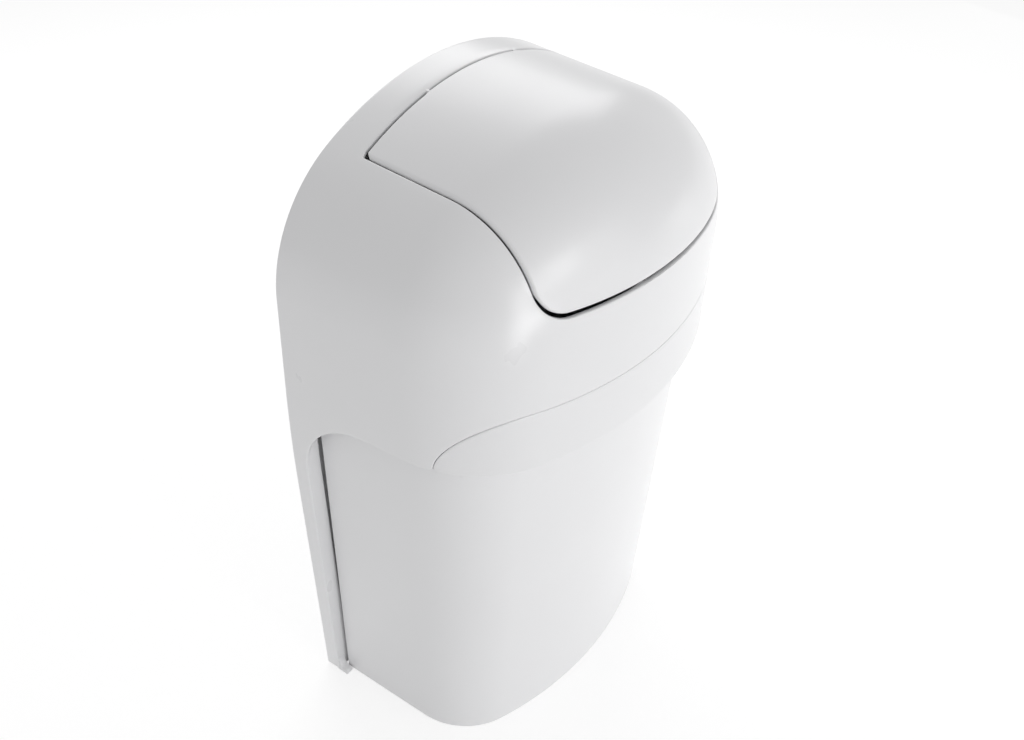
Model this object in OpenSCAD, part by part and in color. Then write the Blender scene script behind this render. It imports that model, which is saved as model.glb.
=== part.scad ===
// Cabinet door trash can: a domed housing that screws to a door, a sprung push-in lid
// and a bin that pulls out forwards by its lip.
// X runs along the door, -Y is the front, +Z is up. The back of the housing lies in
// the door plane at y = depth / 2, and "d" below is the distance forward of that plane.

/* [Overall] */
// Width along the door
width = 216; // [200:1:240]
// How far the can stands out from the door
depth = 127; // [122:1:140]
// Height of the domed top above the base
height = 330; // [322:1:350]

/* [Housing] */
// Distance of the foot of the back panel inside the sides
foot_side = 11; // [6:0.5:16]
// Radius of the dome seen from the front
dome_r = 150.5; // [140:0.5:165]
// Radius of the shoulders seen from the front
shoulder_r = 67.5; // [55:0.5:75]
// Radius of the rounding from the sides and the top to the front
front_fillet = 57.5; // [45:0.5:60]
// Radius of the bowed front seen from above
bow_r = 182.5; // [165:0.5:230]
// Height below which the sides lean in
bend_z = 204; // [195:1:215]
// Radius of the bend between the upright and the leaning part of the sides
bend_r = 900; // [500:50:1200]
// Draft of the top, in degrees
draft = 2.3; // [1:0.1:3]
// Draft of the sides, in degrees
side_draft = 4; // [3:0.1:4.5]
// Wall of the housing
wall = 2.4; // [1.8:0.1:3]
// Distance of the lower edge of the hood below the top
hood_drop = 135; // [130:1:145]
// Radius of the arch between the hood and the back panel
arch_r = 36; // [25:0.5:45]
// Depth of the back panel
panel_d = 4.5; // [4:0.1:6]
// Radius of the lower corners of the back panel
foot_r = 2.5; // [1.5:0.5:5]
// Distance of the front of the panel's flange from the door
flange_d = 8; // [6.5:0.1:9]
// Width of the flange along the sides of the panel
flange_w = 14; // [10:0.5:20]

/* [Lid] */
// Width of the lid opening
opening_w = 142.8; // [130:0.2:146]
// Distance of the opening from the door
seam_d = 17.8; // [17:0.1:22]
// Distance of the front edge of the lid below the top
lid_drop = 61; // [55:1:75]
// Width of the rounding at the front corners of the lid
lid_corner = 13; // [6:1:20]
// Wall of the lid
lid_wall = 2.2; // [1.6:0.1:2.8]
// Depth of the skirt under the lid
skirt = 7; // [5:0.5:9]
// Clearance along the sides of the lid
side_gap = 1; // [0.6:0.1:1.4]
// Clearance of the lid front, square to its path
front_gap = 1; // [0.4:0.1:1.4]

/* [Hinge] */
// Distance of the hinge rod from the door
hinge_d = 11; // [10.5:0.1:12]
// Distance of the hinge rod below the dome over its clips
hinge_drop = 6.25; // [5.5:0.05:8.9]
// Diameter of the hinge rod
rod_dia = 3; // [2.5:0.1:3.5]
// Diameter of the spring wire
wire_dia = 0.9; // [0.7:0.1:1]
// Curls of each lid spring
curls = 6; // [3:1:6]

/* [Bin] */
// Height of the lip above the lower edge of the hood
lip_rise = 31; // [20:1:37]
// Distance behind the front where the lip starts
lip_reach = 47; // [39:1:51]
// Distance of the bin's foot inside the sides
bin_foot_side = 16.6; // [15:0.1:23]
// Distance of the bin's top inside the sides
bin_top_side = 8.5; // [8.2:0.1:13]
// Distance of the bin's foot behind the front
bin_foot_gap = 17; // [13:0.5:27]
// Distance of the bin's top behind the front
bin_top_gap = 9.5; // [8:0.5:15]
// Corner radius of the bin at its foot
bin_foot_r = 37; // [25:1:45]
// Corner radius of the bin at the hood
bin_top_r = 45; // [35:1:50]
// Distance of the back of the bin from the door
bin_back_d = 9.6; // [9.3:0.1:12]
// Wall of the bin
bin_wall = 2.2; // [1.6:0.1:2.8]

/* [Mounting] */
// Diameter of the screw holes
screw_dia = 4.6; // [3.5:0.1:6]
// Distance between the screw holes along the door
screw_span = 120; // [80:1:150]
// Height of the lower screw holes
screw_low_z = 36; // [25:1:60]
// Distance of the upper screw holes below the hood
screw_drop = 29; // [19:1:75]

/* [Hidden] */
$fn = 48;

wall_y = depth / 2;
cut = 2;
fit = 0.3;

// Hinge values
rod_r = rod_dia / 2;
run = 0.05;
knuckle_wall = 2;
knuckle_r = rod_r + knuckle_wall;
arm_x = 28.5;
arm_w = 4.5;
coil_space = 0.45;
spring_pitch = wire_dia + coil_space;
spring_x = arm_x + arm_w + wire_dia / 2 + fit;
ear_x = spring_x + curls * spring_pitch + wire_dia / 2 + fit;
ear_w = 4;
clip_w = 0.8;
groove_x = ear_x + ear_w + fit;
groove_w = clip_w + fit / 2;
groove_depth = 0.35;
groove_r = rod_r - groove_depth;
rod_end = 1.4;
rod_half = groove_x + groove_w + rod_end;
clip_rise = 1.6;
clip_r = rod_r + clip_rise;
clip_far_x = groove_x + clip_w;
hinge_z = height - dome_r + sqrt(dome_r * dome_r - clip_far_x * clip_far_x) - hinge_drop;

// Heights that follow the top, and reaches that follow the front
hood_z = height - hood_drop;
lid_front_z = height - lid_drop;
lip_z = hood_z + lip_rise;
screw_high_z = hood_z - screw_drop;
lip_d = depth - lip_reach;
bin_foot_d = depth - bin_foot_gap;
bin_top_d = depth - bin_top_gap;

// Front outline of the housing
shoulder_x = shoulder_r - width / 2;
dome_z = height - dome_r;
shoulder_z = dome_z + sqrt(pow(dome_r - shoulder_r, 2) - pow(shoulder_x, 2));
foot_half = width / 2 - foot_side;
bend_x = bend_r - width / 2;
side_run = norm([bend_x + foot_half, bend_z]);
side_lean = atan2(bend_x + foot_half, bend_z) - asin(bend_r / side_run);
bend_low = bend_z + bend_r * sin(side_lean);
meet_turn = atan2(shoulder_z - dome_z, shoulder_x);
below_foot = 12;
bend_steps = 4;
shoulder_steps = 9;
dome_steps = 8;
half_steps = bend_steps + shoulder_steps + dome_steps + 1;

// Rounding from the sides to the bowed front
fillet_steps = 12;
bow_steps = 12;
bow_d = depth - bow_r;
ball_tries = 8;

function inward(turn) = [-cos(turn), -sin(turn)];
side_in = inward(180 - side_lean);
function on_side(z) = [-foot_half + z * tan(side_lean), z];

// Each entry is a point of the left half of the front outline and the direction into the body
outline_left = concat(
    [[on_side(-below_foot), side_in]],
    [for (i = [0 : bend_steps - 1])
        let (turn = 180 - side_lean * (1 - i / bend_steps))
        [[bend_x, bend_z] - bend_r * inward(turn), inward(turn)]],
    [for (i = [0 : shoulder_steps - 1])
        let (turn = 180 + (meet_turn - 180) * i / shoulder_steps)
        [[shoulder_x, shoulder_z] - shoulder_r * inward(turn), inward(turn)]],
    [for (i = [0 : dome_steps])
        let (turn = meet_turn + (90 - meet_turn) * i / dome_steps)
        [[0, dome_z] - dome_r * inward(turn), inward(turn)]]);
outline = concat(outline_left,
    [for (i = [half_steps - 1 : -1 : 0])
        [[-outline_left[i][0][0], outline_left[i][0][1]],
         [-outline_left[i][1][0], outline_left[i][1][1]]]]);

function at(x, d, z) = [x, wall_y - d, z];
function bow(x, inset) = bow_d + sqrt(pow(bow_r - inset, 2) - x * x);
function draft_at(n) = draft + (side_draft - draft) * n[0] * n[0];
function ball_in(d, n) = d * tan(draft_at(n)) + front_fillet / cos(draft_at(n));
function ball_depth(p, d, tries) = tries == 0 ? d :
    ball_depth(p, bow(p[0][0] + ball_in(d, p[1]) * p[1][0], front_fillet), tries - 1);
function slerp(a, b, share) = let (turn = acos(a * b))
    (sin((1 - share) * turn) * a + sin(share * turn) * b) / sin(turn);

// One rib of the skin: from the door over the rounding to the bowed front
function rib(p, inset, from_d) =
    let (deep = ball_depth(p, depth - front_fillet, ball_tries))
    let (middle = p[0] + ball_in(deep, p[1]) * p[1])
    let (lean = draft_at(p[1]))
    let (to_side = [-p[1][0] * cos(lean), sin(lean), -p[1][1] * cos(lean)])
    let (to_front = [middle[0], deep - bow_d, 0] / (bow_r - front_fillet))
    let (start = p[0] + (inset / cos(lean) + from_d * tan(lean)) * p[1])
    concat([at(start[0], from_d, start[1])],
        [for (k = [0 : fillet_steps])
            let (reach = (front_fillet - inset) * slerp(to_side, to_front, k / fillet_steps))
            at(middle[0] + reach[0], deep + reach[1], middle[1] + reach[2])]);

// The whole domed body, inset from its outer skin, from a depth forwards
module body_form(inset, from_d) {
    last = 2 * half_steps;
    cols = fillet_steps + 2;
    ribs = [for (p = outline) rib(p, inset, from_d)];
    across = [for (j = [0 : half_steps - 1])
        let (edge = ribs[j][cols - 1])
        for (i = [1 : bow_steps - 1])
            let (x = edge[0] * (1 - 2 * i / bow_steps))
            at(x, bow(x, inset), edge[2])];
    floor_z = ribs[0][0][2];
    points = concat([for (r = ribs) each r], across, [at(0, depth / 2, floor_z)]);
    function grid(j, k) = j * cols + k;
    function face_at(j, i) = i == 0 ? grid(j, cols - 1) :
        i == bow_steps ? grid(last - j, cols - 1) :
        (last + 1) * cols + j * (bow_steps - 1) + i - 1;
    apex = grid(half_steps, cols - 1);
    foot = len(points) - 1;
    rim = concat([for (k = [0 : cols - 1]) grid(0, k)],
        [for (i = [1 : bow_steps - 1]) face_at(0, i)],
        [for (k = [cols - 1 : -1 : 0]) grid(last, k)]);
    faces = concat(
        [for (j = [0 : last - 1], k = [0 : cols - 2])
            each [[grid(j, k), grid(j + 1, k), grid(j + 1, k + 1)],
                  [grid(j, k), grid(j + 1, k + 1), grid(j, k + 1)]]],
        [for (j = [0 : half_steps - 2], i = [0 : bow_steps - 1])
            each [[face_at(j, i), face_at(j + 1, i), face_at(j + 1, i + 1)],
                  [face_at(j, i), face_at(j + 1, i + 1), face_at(j, i + 1)]]],
        [for (i = [0 : bow_steps - 1])
            [face_at(half_steps - 1, i), apex, face_at(half_steps - 1, i + 1)]],
        [for (i = [0 : len(rim) - 2]) [rim[i], rim[i + 1], foot]],
        [[rim[len(rim) - 1], rim[0], foot]],
        [[for (j = [last : -1 : 0]) grid(j, 0)]]);
    polyhedron(points, faces);
}

// Flat shapes in the front view, carried from one depth to another
module from_to(near_d, far_d)
    translate([0, wall_y - near_d, 0]) rotate([90, 0, 0]) linear_extrude(far_d - near_d) children();

// Flat shapes in the side view, drawn as y and z, carried along X
module along(x, w)
    translate([x, 0, 0]) rotate([90, 0, 90]) linear_extrude(w) children();

function arc(middle, r, from, to, steps) =
    [for (i = [0 : steps]) middle + r * [cos(from + (to - from) * i / steps),
        sin(from + (to - from) * i / steps)]];

// Front outline of the back panel, with rounded lower corners
foot_x = -foot_half + foot_r * (1 - side_in[1]) / side_in[0];
foot_steps = 5;
module flat_outline(inset) {
    left = concat(
        arc([foot_x, foot_r], foot_r - inset, 270, 180 - side_lean, foot_steps),
        [for (i = [1 : half_steps]) outline_left[i][0] + inset * outline_left[i][1]]);
    polygon(concat(left, [for (i = [len(left) - 2 : -1 : 0]) [-left[i][0], left[i][1]]]));
}

function y_of(d) = wall_y - d;
function half_at(z) = z < bend_low ? -on_side(z)[0] :
    z < bend_z ? sqrt(bend_r * bend_r - pow(bend_z - z, 2)) - bend_x : width / 2;
function skin_z(x, d) = dome_z + sqrt(dome_r * dome_r - x * x) - d * tan(draft);

// A box given by its width, its two depths and its two heights
module zone(w, near_d, far_d, low, high)
    translate([-w / 2, y_of(far_d), low]) cube([w, far_d - near_d, high - low]);

module both_sides() {
    children();
    mirror([1, 0, 0]) children();
}

// Centres of the rounding on the right half, and where it runs into the bowed front
ball_spots = [for (p = outline_left)
    let (deep = ball_depth(p, depth - front_fillet, ball_tries))
    let (middle = p[0] + ball_in(deep, p[1]) * p[1])
    [-middle[0], middle[1], deep]];
bow_edge = [for (i = [half_steps : -1 : 1])
    [ball_spots[i][0] * bow_r / (bow_r - front_fillet), ball_spots[i][1]]];

// Depth of the outer skin at a place in the upper half of the front view
function skin_d(x, z) = z < lookup(x, bow_edge) ? bow(x, 0) :
    max([for (b = ball_spots)
        b[2] + sqrt(max(0, pow(front_fillet, 2) - pow(x - b[0], 2) - pow(z - b[1], 2)))]);

// Bodies of revolution about the hinge rod: what they cut clears the lid as it swings
hinge = at(0, hinge_d, hinge_z);
opening_half = opening_w / 2;
edge_steps = 4;
corner_steps = 5;
edge_line = concat(
    [for (i = [0 : edge_steps - 1]) [(opening_half - lid_corner) * i / edge_steps, lid_front_z]],
    [for (i = [0 : corner_steps])
        let (turn = 90 * i / corner_steps)
        [opening_half - lid_corner * (1 - sin(turn)), lid_front_z + lid_corner * (1 - cos(turn))]]);
edge_swing = [for (p = edge_line) [norm([skin_d(p[0], p[1]) - hinge_d, hinge_z - p[1]]), p[0]]];
module swing_form(inset_r, inset_x) {
    side = [for (p = edge_swing) [p[0] - inset_r, p[1] * (1 - inset_x / opening_half)]];
    last = len(side) - 1;
    translate(hinge) rotate([0, 90, 0]) rotate_extrude(angle = 360)
        polygon(concat([[0, -side[last][1]]], [for (i = [last : -1 : 1]) [side[i][0], -side[i][1]]],
            side, [[0, side[last][1]]]));
}

// Lid values
lid_low = lid_front_z - 4 * skirt;
skirt_t = 2;
seam_gap = 0.9;
seam_wide_gap = 1.9;
notch_half = 34;

module lid_opening()
    intersection() {
        swing_form(-front_gap / 2, 0);
        zone(width, seam_d, depth + cut, lid_low, height + cut);
    }

// Stops under the lid, in line with the slope of the dome beside the opening
stop_d = 40;
stop_l = 14;
stop_w = 10;
stop_t = 2.4;
bumper_t = 1.5;
bumper_w = 4;
bumper_l = 10;
stop_x = opening_half + bumper_w / 2 + fit;
past_dome = max(0, asin((stop_x + bumper_w / 2) / dome_r) - meet_turn + 90);
under_hood = (dome_r - shoulder_r) * cos(past_dome)
    + sqrt(pow(shoulder_r, 2) - pow((dome_r - shoulder_r) * sin(past_dome), 2))
    - wall - (stop_d + bumper_l / 2) * tan(draft_at([stop_x / dome_r, 0]));
stop_turn = asin(stop_x / under_hood);

module at_stop(side, r)
    translate([0, y_of(stop_d), dome_z]) rotate([0, side * stop_turn, 0]) translate([0, 0, r])
        children();

// Lip and shelf values
lip_gap = 0.8;
lip_end_d = 32;
lip_straight = 2;
lip_end_z = lip_rise - lip_straight;
lip_end_power = 4 / 3;
arc_steps = 8;
module lip_form(inset)
    along(-width, 2 * width)
        polygon(concat([[y_of(lip_d + inset), hood_z - cut]],
            [for (i = [0 : arc_steps])
                let (turn = 90 * i / arc_steps)
                [y_of(lip_d + inset + lip_end_d * (1 - pow(cos(turn), lip_end_power))),
                 lip_z - inset - lip_end_z * (1 - pow(sin(turn), lip_end_power))]],
            [[y_of(depth + cut), lip_z - inset], [y_of(depth + cut), hood_z - cut]]));

// Everything in front of the back panel and below the hood
module under_hood_form()
    along(-width, 2 * width)
        polygon(concat([[y_of(flange_d), -below_foot - cut]],
            [for (p = arc([flange_d + arch_r, hood_z - arch_r], arch_r, 180, 90, arc_steps))
                [y_of(p[0]), p[1]]],
            [[y_of(depth + cut), hood_z], [y_of(depth + cut), -below_foot - cut]]));

// Rim and ledge values
neck_in = 6.2;
neck_drop = 4;
rim_rise = 9;
rim_t = 2.4;
rim_side = 11.4;
rim_x = width / 2 - rim_side;
rim_back_d = 7.2;
rim_corner = 4;
rim_top = hood_z + rim_rise;
ledge_t = 2.4;
ledge_x = 93.9;
ledge_end_d = 72;
ledge_top = rim_top - rim_t - fit;
ledge_low = ledge_top - ledge_t;
function wall_x(d) = half_at(ledge_top) - d * tan(side_draft) - wall / 2;

module ledge()
    translate([0, 0, ledge_low]) linear_extrude(ledge_t)
        polygon([[ledge_x, y_of(panel_d - wall / 2)], [wall_x(panel_d), y_of(panel_d - wall / 2)],
            [wall_x(ledge_end_d), y_of(ledge_end_d)], [ledge_x, y_of(ledge_end_d)]]);

// Stop rib on the panel that the rim of the bin meets
stop_rib_x = 50;
stop_rib_w = 3;
stop_rib_h = 14;
module stop_rib()
    translate([stop_rib_x - stop_rib_w / 2, y_of(rim_back_d - fit), rim_top - stop_rib_h])
        cube([stop_rib_w, rim_back_d - fit - panel_d + wall / 2, stop_rib_h]);

// Ear that carries one end of the hinge rod
ear_top = skin_z(ear_x + ear_w, hinge_d) - wall / 2;
module ear()
    along(ear_x, ear_w)
        union() {
            translate([y_of(hinge_d), hinge_z]) circle(knuckle_r);
            translate([y_of(hinge_d + knuckle_r), hinge_z])
                square([hinge_d + knuckle_r - panel_d + wall / 2, ear_top - hinge_z]);
            translate([y_of(hinge_d), hinge_z - knuckle_r])
                square([hinge_d - panel_d + wall / 2, knuckle_r + ear_top - hinge_z]);
        }

// Ribs behind the back panel, which lie on the door
back_rib_w = 1.6;
back_rib_shares = [0.34, 0.61, 0.83];
module back_ribs()
    from_to(0, panel_d - wall / 2) intersection() {
        flat_outline(wall / 2);
        union() {
            for (x = [-screw_span / 2, 0, screw_span / 2])
                translate([x - back_rib_w / 2, 0]) square([back_rib_w, height]);
            for (share = back_rib_shares)
                translate([-width / 2, share * height - back_rib_w / 2]) square([width, back_rib_w]);
        }
    }

screw_spots = [for (x = [-screw_span / 2, screw_span / 2], z = [screw_low_z, screw_high_z]) [x, z]];
boss_wall = 3.5;
boss_r = screw_dia / 2 + boss_wall;
sink_rise = 2;
sink_r = screw_dia / 2 + sink_rise;
sink_depth = 1.9;

module shell()
    difference() {
        body_form(0, 0);
        body_form(wall, -cut);
        under_hood_form();
        zone(2 * width, -cut, depth + cut, -below_foot - cut, 0);
        lid_opening();
        lip_form(0);
    }

// Back panel, the flange in front of its edge below the hood, and the wall along its foot
flange_drop = 3;
flange_foot = 6;
module flange_window() {
    left = concat([on_side(flange_foot) + flange_w * side_in],
        [for (i = [1 : half_steps]) outline_left[i][0] + flange_w * outline_left[i][1]]);
    polygon(concat(left, [for (i = [len(left) - 2 : -1 : 0]) [-left[i][0], left[i][1]]]));
}
module panel() {
    from_to(panel_d - wall, panel_d) flat_outline(wall / 2);
    from_to(flange_d - wall, flange_d) intersection() {
        difference() {
            flat_outline(wall / 2);
            flange_window();
        }
        translate([-width, 0]) square([2 * width, hood_z - flange_drop]);
    }
    from_to(0, flange_d) intersection() {
        flat_outline(wall / 2);
        translate([-width, 0]) square([2 * width, wall]);
    }
}

// Toe at each lower corner that the foot of the bin stands beside
toe_h = 3;
toe_w = 3.8;
toe_reach = 6.3;
toe_r = 1.6;
toe_side = foot_half - wall / 2;
toe_x = toe_side - toe_w;
module toe()
    linear_extrude(toe_h) hull() {
        translate([toe_x, y_of(flange_d)]) square([toe_side - toe_x, wall]);
        translate([toe_side - toe_r, y_of(flange_d + toe_reach - toe_r)]) circle(toe_r);
        translate([toe_x, y_of(flange_d + toe_reach)]) square([wall / 2, toe_r]);
    }

module housing()
    color("white")
        difference() {
            union() {
                shell();
                panel();
                back_ribs();
                for (p = screw_spots)
                    translate([p[0], 0, p[1]]) from_to(0, panel_d - wall / 2) circle(boss_r);
                both_sides() {
                    toe();
                    ledge();
                    stop_rib();
                    ear();
                }
            }
            for (p = screw_spots)
                translate([p[0], 0, p[1]]) {
                    from_to(-cut, panel_d + cut) circle(screw_dia / 2);
                    translate([0, y_of(panel_d), 0]) rotate([-90, 0, 0])
                        cylinder(sink_depth, sink_r, screw_dia / 2);
                }
            translate([-rod_half, hinge[1], hinge_z]) rotate([0, 90, 0])
                cylinder(2 * rod_half, rod_r + run, rod_r + run);
        }

// The lid: a skin that follows the dome, a skirt along its edge, two arms and two stops
module lid_edge(inset)
    intersection() {
        swing_form(front_gap / 2 + inset, side_gap + inset);
        union() {
            zone(width, seam_d + seam_wide_gap + inset, depth + cut, lid_low - inset, height + cut);
            zone(2 * (notch_half - inset), seam_d + seam_gap + inset, depth + cut, lid_low - inset,
                height + cut);
        }
    }

module lid_skin()
    intersection() {
        difference() {
            body_form(0, 0);
            body_form(lid_wall, -cut);
        }
        lid_edge(0);
    }

module lid_skirt()
    intersection() {
        difference() {
            body_form(lid_wall / 2, 0);
            body_form(skirt, -cut);
        }
        difference() {
            lid_edge(0);
            lid_edge(skirt_t);
        }
    }

arm_reach_d = 44;
arm_root_drop = 7;
module arm() {
    side_x = arm_x + arm_w;
    root_d = seam_d + seam_gap + skirt_t;
    along(arm_x, arm_w)
        union() {
            translate([y_of(hinge_d), hinge_z]) circle(knuckle_r);
            polygon([[y_of(hinge_d), hinge_z + knuckle_r],
                [y_of(root_d), skin_z(side_x, root_d) - lid_wall - fit],
                [y_of(root_d), skin_z(side_x, root_d) - lid_wall / 2],
                [y_of(arm_reach_d), skin_z(side_x, arm_reach_d) - lid_wall / 2],
                [y_of(arm_reach_d), skin_z(side_x, arm_reach_d) - lid_wall - fit],
                [y_of(root_d), skin_z(side_x, root_d) - lid_wall - arm_root_drop],
                [y_of(hinge_d), hinge_z - knuckle_r]]);
        }
}

module stop_arm()
    at_stop(1, under_hood - 2 * fit - bumper_t - stop_t)
        translate([bumper_w / 2 - stop_w, -stop_l / 2, 0]) cube([stop_w, stop_l, stop_t]);

module lid()
    color("white")
        difference() {
            union() {
                lid_skin();
                lid_skirt();
                both_sides() {
                    arm();
                    stop_arm();
                }
            }
            translate([-rod_half, hinge[1], hinge_z]) rotate([0, 90, 0])
                cylinder(2 * rod_half, rod_r + run, rod_r + run);
        }

// Bin values
bin_bow_r = 192;
bin_draft = 1.7;
bin_back_r = 3.5;
bin_foot_round = 2.4;
foot_share = 0.3;
floor_t = 2.4;
back_steps = 3;
corner_steps_bin = 9;
front_steps = 6;

function mix(a, b, share) = a + (b - a) * share;

// Plan outline of the bin at a height, inset from its outer skin
function bin_ring(z, inset) =
    let (share = z / hood_z)
    let (half = width / 2 - mix(bin_foot_side, bin_top_side, share))
    let (reach = mix(bin_foot_d, bin_top_d, share))
    let (r = mix(bin_foot_r, bin_top_r, share))
    let (bow_at = reach - bin_bow_r)
    let (guess = bow_at + sqrt(pow(bin_bow_r - r, 2) - pow(half - r, 2)))
    let (x = half - guess * tan(bin_draft) - r / cos(bin_draft))
    let (d = bow_at + sqrt(pow(bin_bow_r - r, 2) - x * x))
    let (meet = atan2(d - bow_at, x))
    let (back_r = max(bin_back_r - inset, bin_wall / 2))
    let (back_x = half - bin_back_d * tan(bin_draft) - inset / cos(bin_draft) - back_r)
    let (right = concat(
        arc([back_x, bin_back_d + inset + back_r], back_r, -90, bin_draft, back_steps),
        arc([x, d], r - inset, bin_draft, meet, corner_steps_bin),
        [for (i = [1 : front_steps]) [0, bow_at] + (bin_bow_r - inset) *
            [cos(mix(meet, 90, i / front_steps)), sin(mix(meet, 90, i / front_steps))]]))
    [for (p = concat(right, [for (i = [len(right) - 2 : -1 : 0]) [-right[i][0], right[i][1]]]))
        at(p[0], p[1], z)];

// A solid through rings of the bin: each level is a height and an inset
module bin_loft(levels) {
    rings = [for (l = levels) bin_ring(l[0], l[1])];
    n = len(rings[0]);
    tall = len(levels) - 1;
    polyhedron([for (r = rings) each r], concat(
        [for (k = [0 : tall - 1], i = [0 : n - 1])
            let (next = (i + 1) % n)
            each [[k * n + i, k * n + next, (k + 1) * n + next],
                  [k * n + i, (k + 1) * n + next, (k + 1) * n + i]]],
        [[for (i = [n - 1 : -1 : 0]) i], [for (i = [0 : n - 1]) tall * n + i]]));
}

neck_z = hood_z - neck_drop;
shelf_top = hood_z + bin_wall;
end_wall_d = lip_d + lip_gap;

// The lip is a piece of the hood's own skin, carried on a shelf round the front of the bin
module lip_block()
    difference() {
        intersection() {
            body_form(0, 0);
            lip_form(lip_gap);
            zone(width, end_wall_d, depth + cut, hood_z, lip_z);
        }
        intersection() {
            body_form(bin_wall, 0);
            zone(width, end_wall_d + bin_wall, depth + cut, shelf_top, lip_z + cut);
        }
    }

module rim()
    translate([0, 0, rim_top - rim_t]) linear_extrude(rim_t)
        polygon(concat(
            arc([rim_x - rim_corner, y_of(rim_back_d + rim_corner)], rim_corner, 0, 90, back_steps),
            arc([rim_corner - rim_x, y_of(rim_back_d + rim_corner)], rim_corner, 90, 180, back_steps),
            [[-rim_x, y_of(end_wall_d + bin_wall)], [rim_x, y_of(end_wall_d + bin_wall)]]));

module bin()
    color("white")
        difference() {
            union() {
                bin_loft([[0, bin_foot_round], foot_share * [bin_foot_round, bin_foot_round],
                    [bin_foot_round, 0], [neck_z, 0]]);
                intersection() {
                    bin_loft([[neck_z, 0], [hood_z, neck_in], [rim_top, neck_in]]);
                    zone(width, 0, end_wall_d + bin_wall, 0, height);
                }
                intersection() {
                    bin_loft([[neck_z, 0], [shelf_top, 0]]);
                    zone(width, end_wall_d, depth, 0, height);
                }
                lip_block();
                rim();
            }
            bin_loft([[floor_t, bin_wall + bin_foot_round], [floor_t + bin_foot_round, bin_wall],
                [neck_z, bin_wall]]);
            intersection() {
                bin_loft([[neck_z, bin_wall], [hood_z, bin_wall + neck_in],
                    [lip_z + cut, bin_wall + neck_in]]);
                zone(width, 0, end_wall_d + bin_wall + cut, 0, height);
            }
            intersection() {
                bin_loft([[neck_z, bin_wall], [shelf_top + cut, bin_wall]]);
                zone(width, end_wall_d + bin_wall, depth, 0, height);
            }
        }

module rod_grooves()
    both_sides() translate([groove_x, hinge[1], hinge_z]) rotate([0, 90, 0])
        difference() {
            cylinder(groove_w, rod_r + cut, rod_r + cut);
            cylinder(groove_w, groove_r, groove_r);
        }

module hinge_rod()
    color("silver")
        difference() {
            translate([-rod_half, hinge[1], hinge_z]) rotate([0, 90, 0])
                cylinder(2 * rod_half, rod_r, rod_r);
            rod_grooves();
        }

// Open ring that snaps into a groove of the rod
module rod_clip(side)
    color("dimgray")
        translate([side * (groove_x + groove_w / 2), hinge[1], hinge_z]) rotate([0, 90, 0])
            translate([0, 0, -clip_w / 2]) difference() {
                cylinder(clip_w, clip_r, clip_r);
                translate([0, 0, -cut]) cylinder(clip_w + 2 * cut, groove_r + run, groove_r + run);
                translate([0, -groove_r, -cut]) cube([clip_r + cut, 2 * groove_r, clip_w + 2 * cut]);
            }

// Lid spring: one leg on the panel, the coil round the rod, one leg under the lid
coil_r = rod_r + run + wire_dia / 2 + fit;
leg_l = 15;
lid_leg_turn = 7;
panel_leg_turn = -60;
panel_leg_share = 0.48;
rings_a_curl = 8;
turns = curls - 1 + (lid_leg_turn - panel_leg_turn) / 360;
function coil_at(turn, x) = [x, -coil_r * sin(turn), coil_r * cos(turn)];
function spring_path() =
    let (from = lid_leg_turn)
    let (steps = ceil(turns * rings_a_curl))
    let (coil = [for (i = [0 : steps])
        coil_at(from - 360 * turns * i / steps, spring_x + spring_pitch * turns * i / steps)])
    let (last = from - 360 * turns)
    concat([coil[0] + leg_l * [0, -cos(from), -sin(from)]], coil,
        [coil[steps] + leg_l * panel_leg_share * [0, cos(last), sin(last)]]);
wire_sides = 6;
module wire(path) {
    n = len(path);
    points = [for (i = [0 : n - 1])
        let (a = path[max(i - 1, 0)], b = path[min(i + 1, n - 1)])
        let (ahead = (b - a) / norm(b - a))
        let (across = [1, 0, 0] - ahead[0] * ahead)
        let (u = across / norm(across))
        let (v = cross(ahead, u))
        for (k = [0 : wire_sides - 1])
            path[i] + wire_dia / 2 * (cos(360 * k / wire_sides) * u + sin(360 * k / wire_sides) * v)];
    faces = concat(
        [for (i = [0 : n - 2], k = [0 : wire_sides - 1])
            let (next = (k + 1) % wire_sides)
            each [[i * wire_sides + k, (i + 1) * wire_sides + k, (i + 1) * wire_sides + next],
                  [i * wire_sides + k, (i + 1) * wire_sides + next, i * wire_sides + next]]],
        [[for (k = [0 : wire_sides - 1]) k],
         [for (k = [wire_sides - 1 : -1 : 0]) (n - 1) * wire_sides + k]]);
    polyhedron(points, faces);
}
coil_points = spring_path();
coil_gap = min([for (i = [0 : len(coil_points) - 1], j = [i + 4 : 1 : len(coil_points) - 1])
    norm(coil_points[i] - coil_points[j])]) - wire_dia;
echo(spring_gap = coil_gap);

module lid_spring() color("gray") translate(hinge) wire(coil_points);

module bumper(side)
    color("gainsboro")
        at_stop(side, under_hood - fit - bumper_t)
            translate([-bumper_w / 2, -bumper_l / 2, 0]) cube([bumper_w, bumper_l, bumper_t]);

module rod_clip_left() rod_clip(-1);
module rod_clip_right() rod_clip(1);
module lid_spring_left() mirror([1, 0, 0]) lid_spring();
module lid_spring_right() lid_spring();
module lid_bumper_left() bumper(-1);
module lid_bumper_right() bumper(1);

housing();
lid();
bin();
hinge_rod();
rod_clip_left();
rod_clip_right();
lid_spring_left();
lid_spring_right();
lid_bumper_left();
lid_bumper_right();
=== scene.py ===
from math import acos, asin, atan2, cos, hypot, pi, radians, sin, sqrt, tan

import bmesh
import bpy
from bpy.props import FloatProperty, FloatVectorProperty, IntProperty, PointerProperty
from mathutils import Matrix, Vector


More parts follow.
